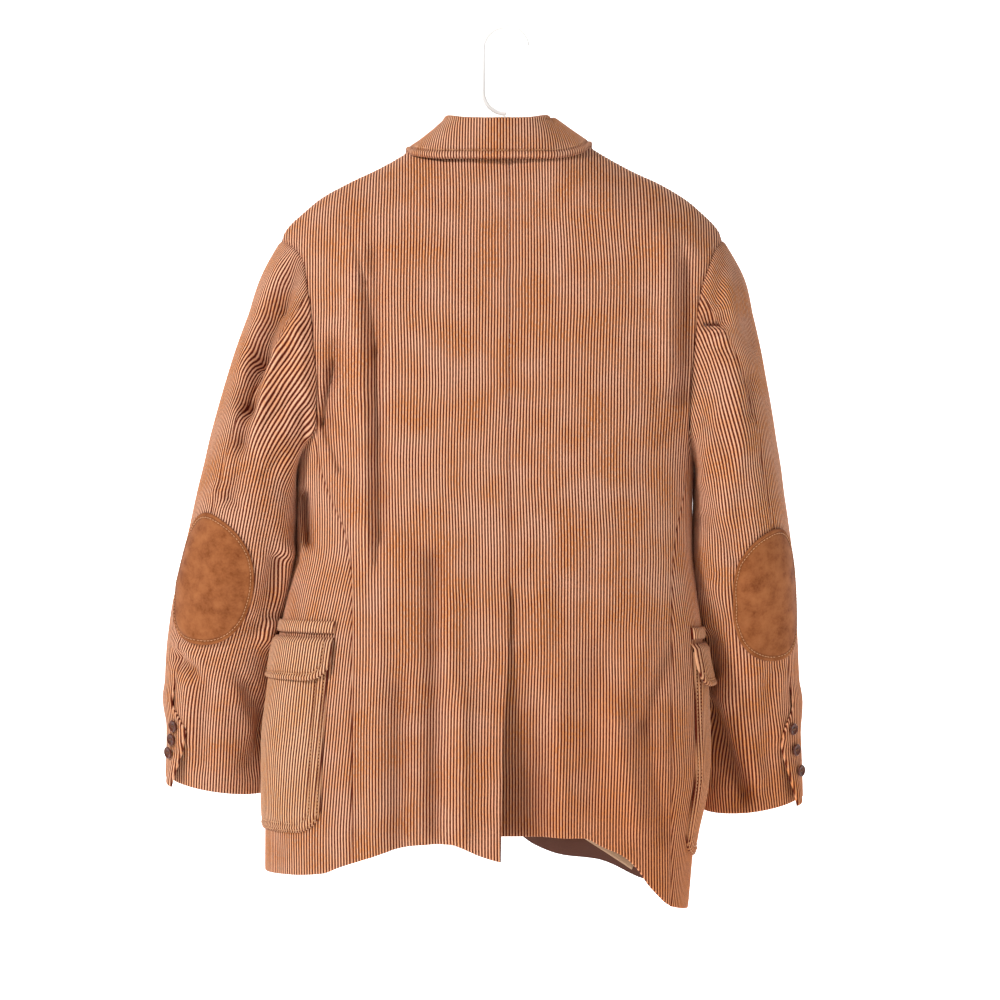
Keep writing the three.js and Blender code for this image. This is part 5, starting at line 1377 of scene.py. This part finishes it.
def makeHanger():
    def arc(z, start, end, count):
        a = np.radians(np.linspace(start, end, count))
        return np.stack([hanger["x"] + hanger["bend"] * np.cos(a), 0 * a, z + hanger["bend"] * np.sin(a)], -1)

    lower, upper = arc(hanger["lowerZ"], -90, 0, 40), arc(hanger["upperZ"], 0, hanger["tip"], 80)
    straight = lower[-1] + (upper[0] - lower[-1]) * np.linspace(0, 1, 12)[1:-1, None]
    path = np.concatenate([lower, straight, upper])
    end = unit(path[-1] - path[-2])
    ending = [(0.6, 0.97), (1.1, 0.86), (1.3, 0.7), (1.25, 0.55), (0.6, 0.46), (-2.5, 0.44), (-2.6, 0)]
    path = np.concatenate([path[:1] - [[1.0, 0, 0]], path, path[-1] + np.array([[d] for d, _ in ending]) * end])
    radii = hanger["rod"] * np.concatenate([[0], np.ones(len(path) - len(ending) - 1), [r for _, r in ending]])
    across = np.zeros(path.shape)
    across[1:-len(ending) - 1] = unit(np.gradient(path[1:-len(ending) - 1], axis=0))
    across[0], across[-len(ending) - 1:] = across[1], end
    points, faces = tube(path, radii, np.array([0.0, 1.0, 0.0]), 28, across)
    rod = addMesh("hangerHook", points, faces, [whitePlastic], grain=points[:, [0, 2]])
    dressed(rod, "hanger", "hanger_hook")

    r, top, low = hanger["neckRadius"], hanger["neckTop"], hanger["neckBottom"]
    shape = [(0, low), (r, low), (r, low + 6), (r * 0.94, low + 6.6), (r * 0.94, low + 8), (r, low + 8.6), (r, top - 5),
             (r * 0.97, top - 3.2), (r * 0.88, top - 1.4), (r * 0.7, top - 0.4), (r * 0.5, top), (0, top)]
    (points, faces), _, _ = lathe(shape, np.array([hanger["x"], 0.0, 0.0]), np.array([0.0, 0.0, 1.0]), 44)
    neck = addMesh("hangerNeck", points, faces, [whitePlastic], grain=points[:, [0, 2]], sharp=50)
    dressed(neck, "hanger", "hanger_neck")

    x = np.linspace(-1, 1, 141)
    x = hanger["reach"] * np.sign(x) * (1 - (1 - np.abs(x)) ** 1.3)
    angle = np.linspace(0, 2 * np.pi, 41)[:-1]
    ends = np.sqrt(np.maximum(0, 1 - np.clip((np.abs(x) - hanger["reach"] + 6) / 6, 0, 1) ** 2))[:, None]
    top = np.minimum(hanger["centreTop"], shoulderZ(x) - hanger["below"])[:, None]
    y = hanger["deep"] / 2 * np.cos(angle) * ends
    z = top - hanger["high"] / 2 * (1 - np.sin(angle) * ends)
    points, faces = sweep(np.stack([x[:, None] + 0 * y, y, z], -1))
    arms = addMesh("hangerArms", points, faces, [whitePlastic], grain=points[:, [0, 2]])
    dressed(arms, "hanger", "hanger_arms")


makeHanger()
print("hanger made")

# Stage and light

stage = {"floor": -2.3, "back": -2.4, "wide": 14, "glow": 0.9}
lamps = [
    ("key", (2.2, 1.9, 1.3), (0.0, 0.0, -0.4), 0.55, 100),
    ("fill", (-2.2, 2.0, 0.7), (0.0, 0.0, -0.4), 1.6, 24),
    ("front", (0.6, -2.2, 0.8), (0.0, 0.0, -0.5), 1.5, 14),
]


def makeStage():
    material, tree, shader = newMaterial("paintedBoard")
    place = addNode(tree, "ShaderNodeTexCoord").outputs["Object"]
    noise = addNode(tree, "ShaderNodeTexNoise", {"Vector": place, "Scale": 2.0})
    base = mixColour(tree, noise.outputs[0], colour("#fafafa"), colour("#ffffff"))
    tree.links.new(base, shader.inputs["Base Color"])
    shader.inputs["Roughness"].default_value = 0.9
    shader.inputs["Emission Color"].default_value = (1, 1, 1, 1)
    shader.inputs["Emission Strength"].default_value = stage["glow"]
    half, radius = stage["wide"] / 2, 1.2
    bend = np.linspace(0, np.pi / 2, 16)
    y = np.concatenate([[half], stage["back"] + radius * (1 - np.sin(bend)), [stage["back"]]])
    z = np.concatenate([[stage["floor"]], stage["floor"] + radius * (1 - np.cos(bend)), [stage["floor"] + half]])
    points = [(x, a, b) for a, b in zip(y, z) for x in (-half, half)]
    faces = [(2 * k, 2 * k + 1, 2 * k + 3, 2 * k + 2) for k in range(len(y) - 1)]
    mesh = bpy.data.meshes.new("backdrop")
    mesh.from_pydata(points, [], faces)
    mesh.materials.append(material)
    backdrop = bpy.data.objects.new("backdrop", mesh)
    bpy.context.scene.collection.objects.link(backdrop)
    for name, place, target, size, power in lamps:
        data = bpy.data.lights.new(name, "AREA")
        data.size = size
        data.energy = power
        lamp = bpy.data.objects.new(name, data)
        bpy.context.scene.collection.objects.link(lamp)
        lamp.location = place
        lamp.rotation_euler = (Vector(target) - Vector(place)).to_track_quat("-Z", "Y").to_euler()
    world = bpy.data.worlds.new("studio")
    world.use_nodes = True
    world.node_tree.nodes["Background"].inputs[0].default_value = (1, 1, 1, 1)
    world.node_tree.nodes["Background"].inputs[1].default_value = 0.2
    bpy.context.scene.world = world
    bpy.context.scene.view_settings.view_transform = "Standard"


makeStage()
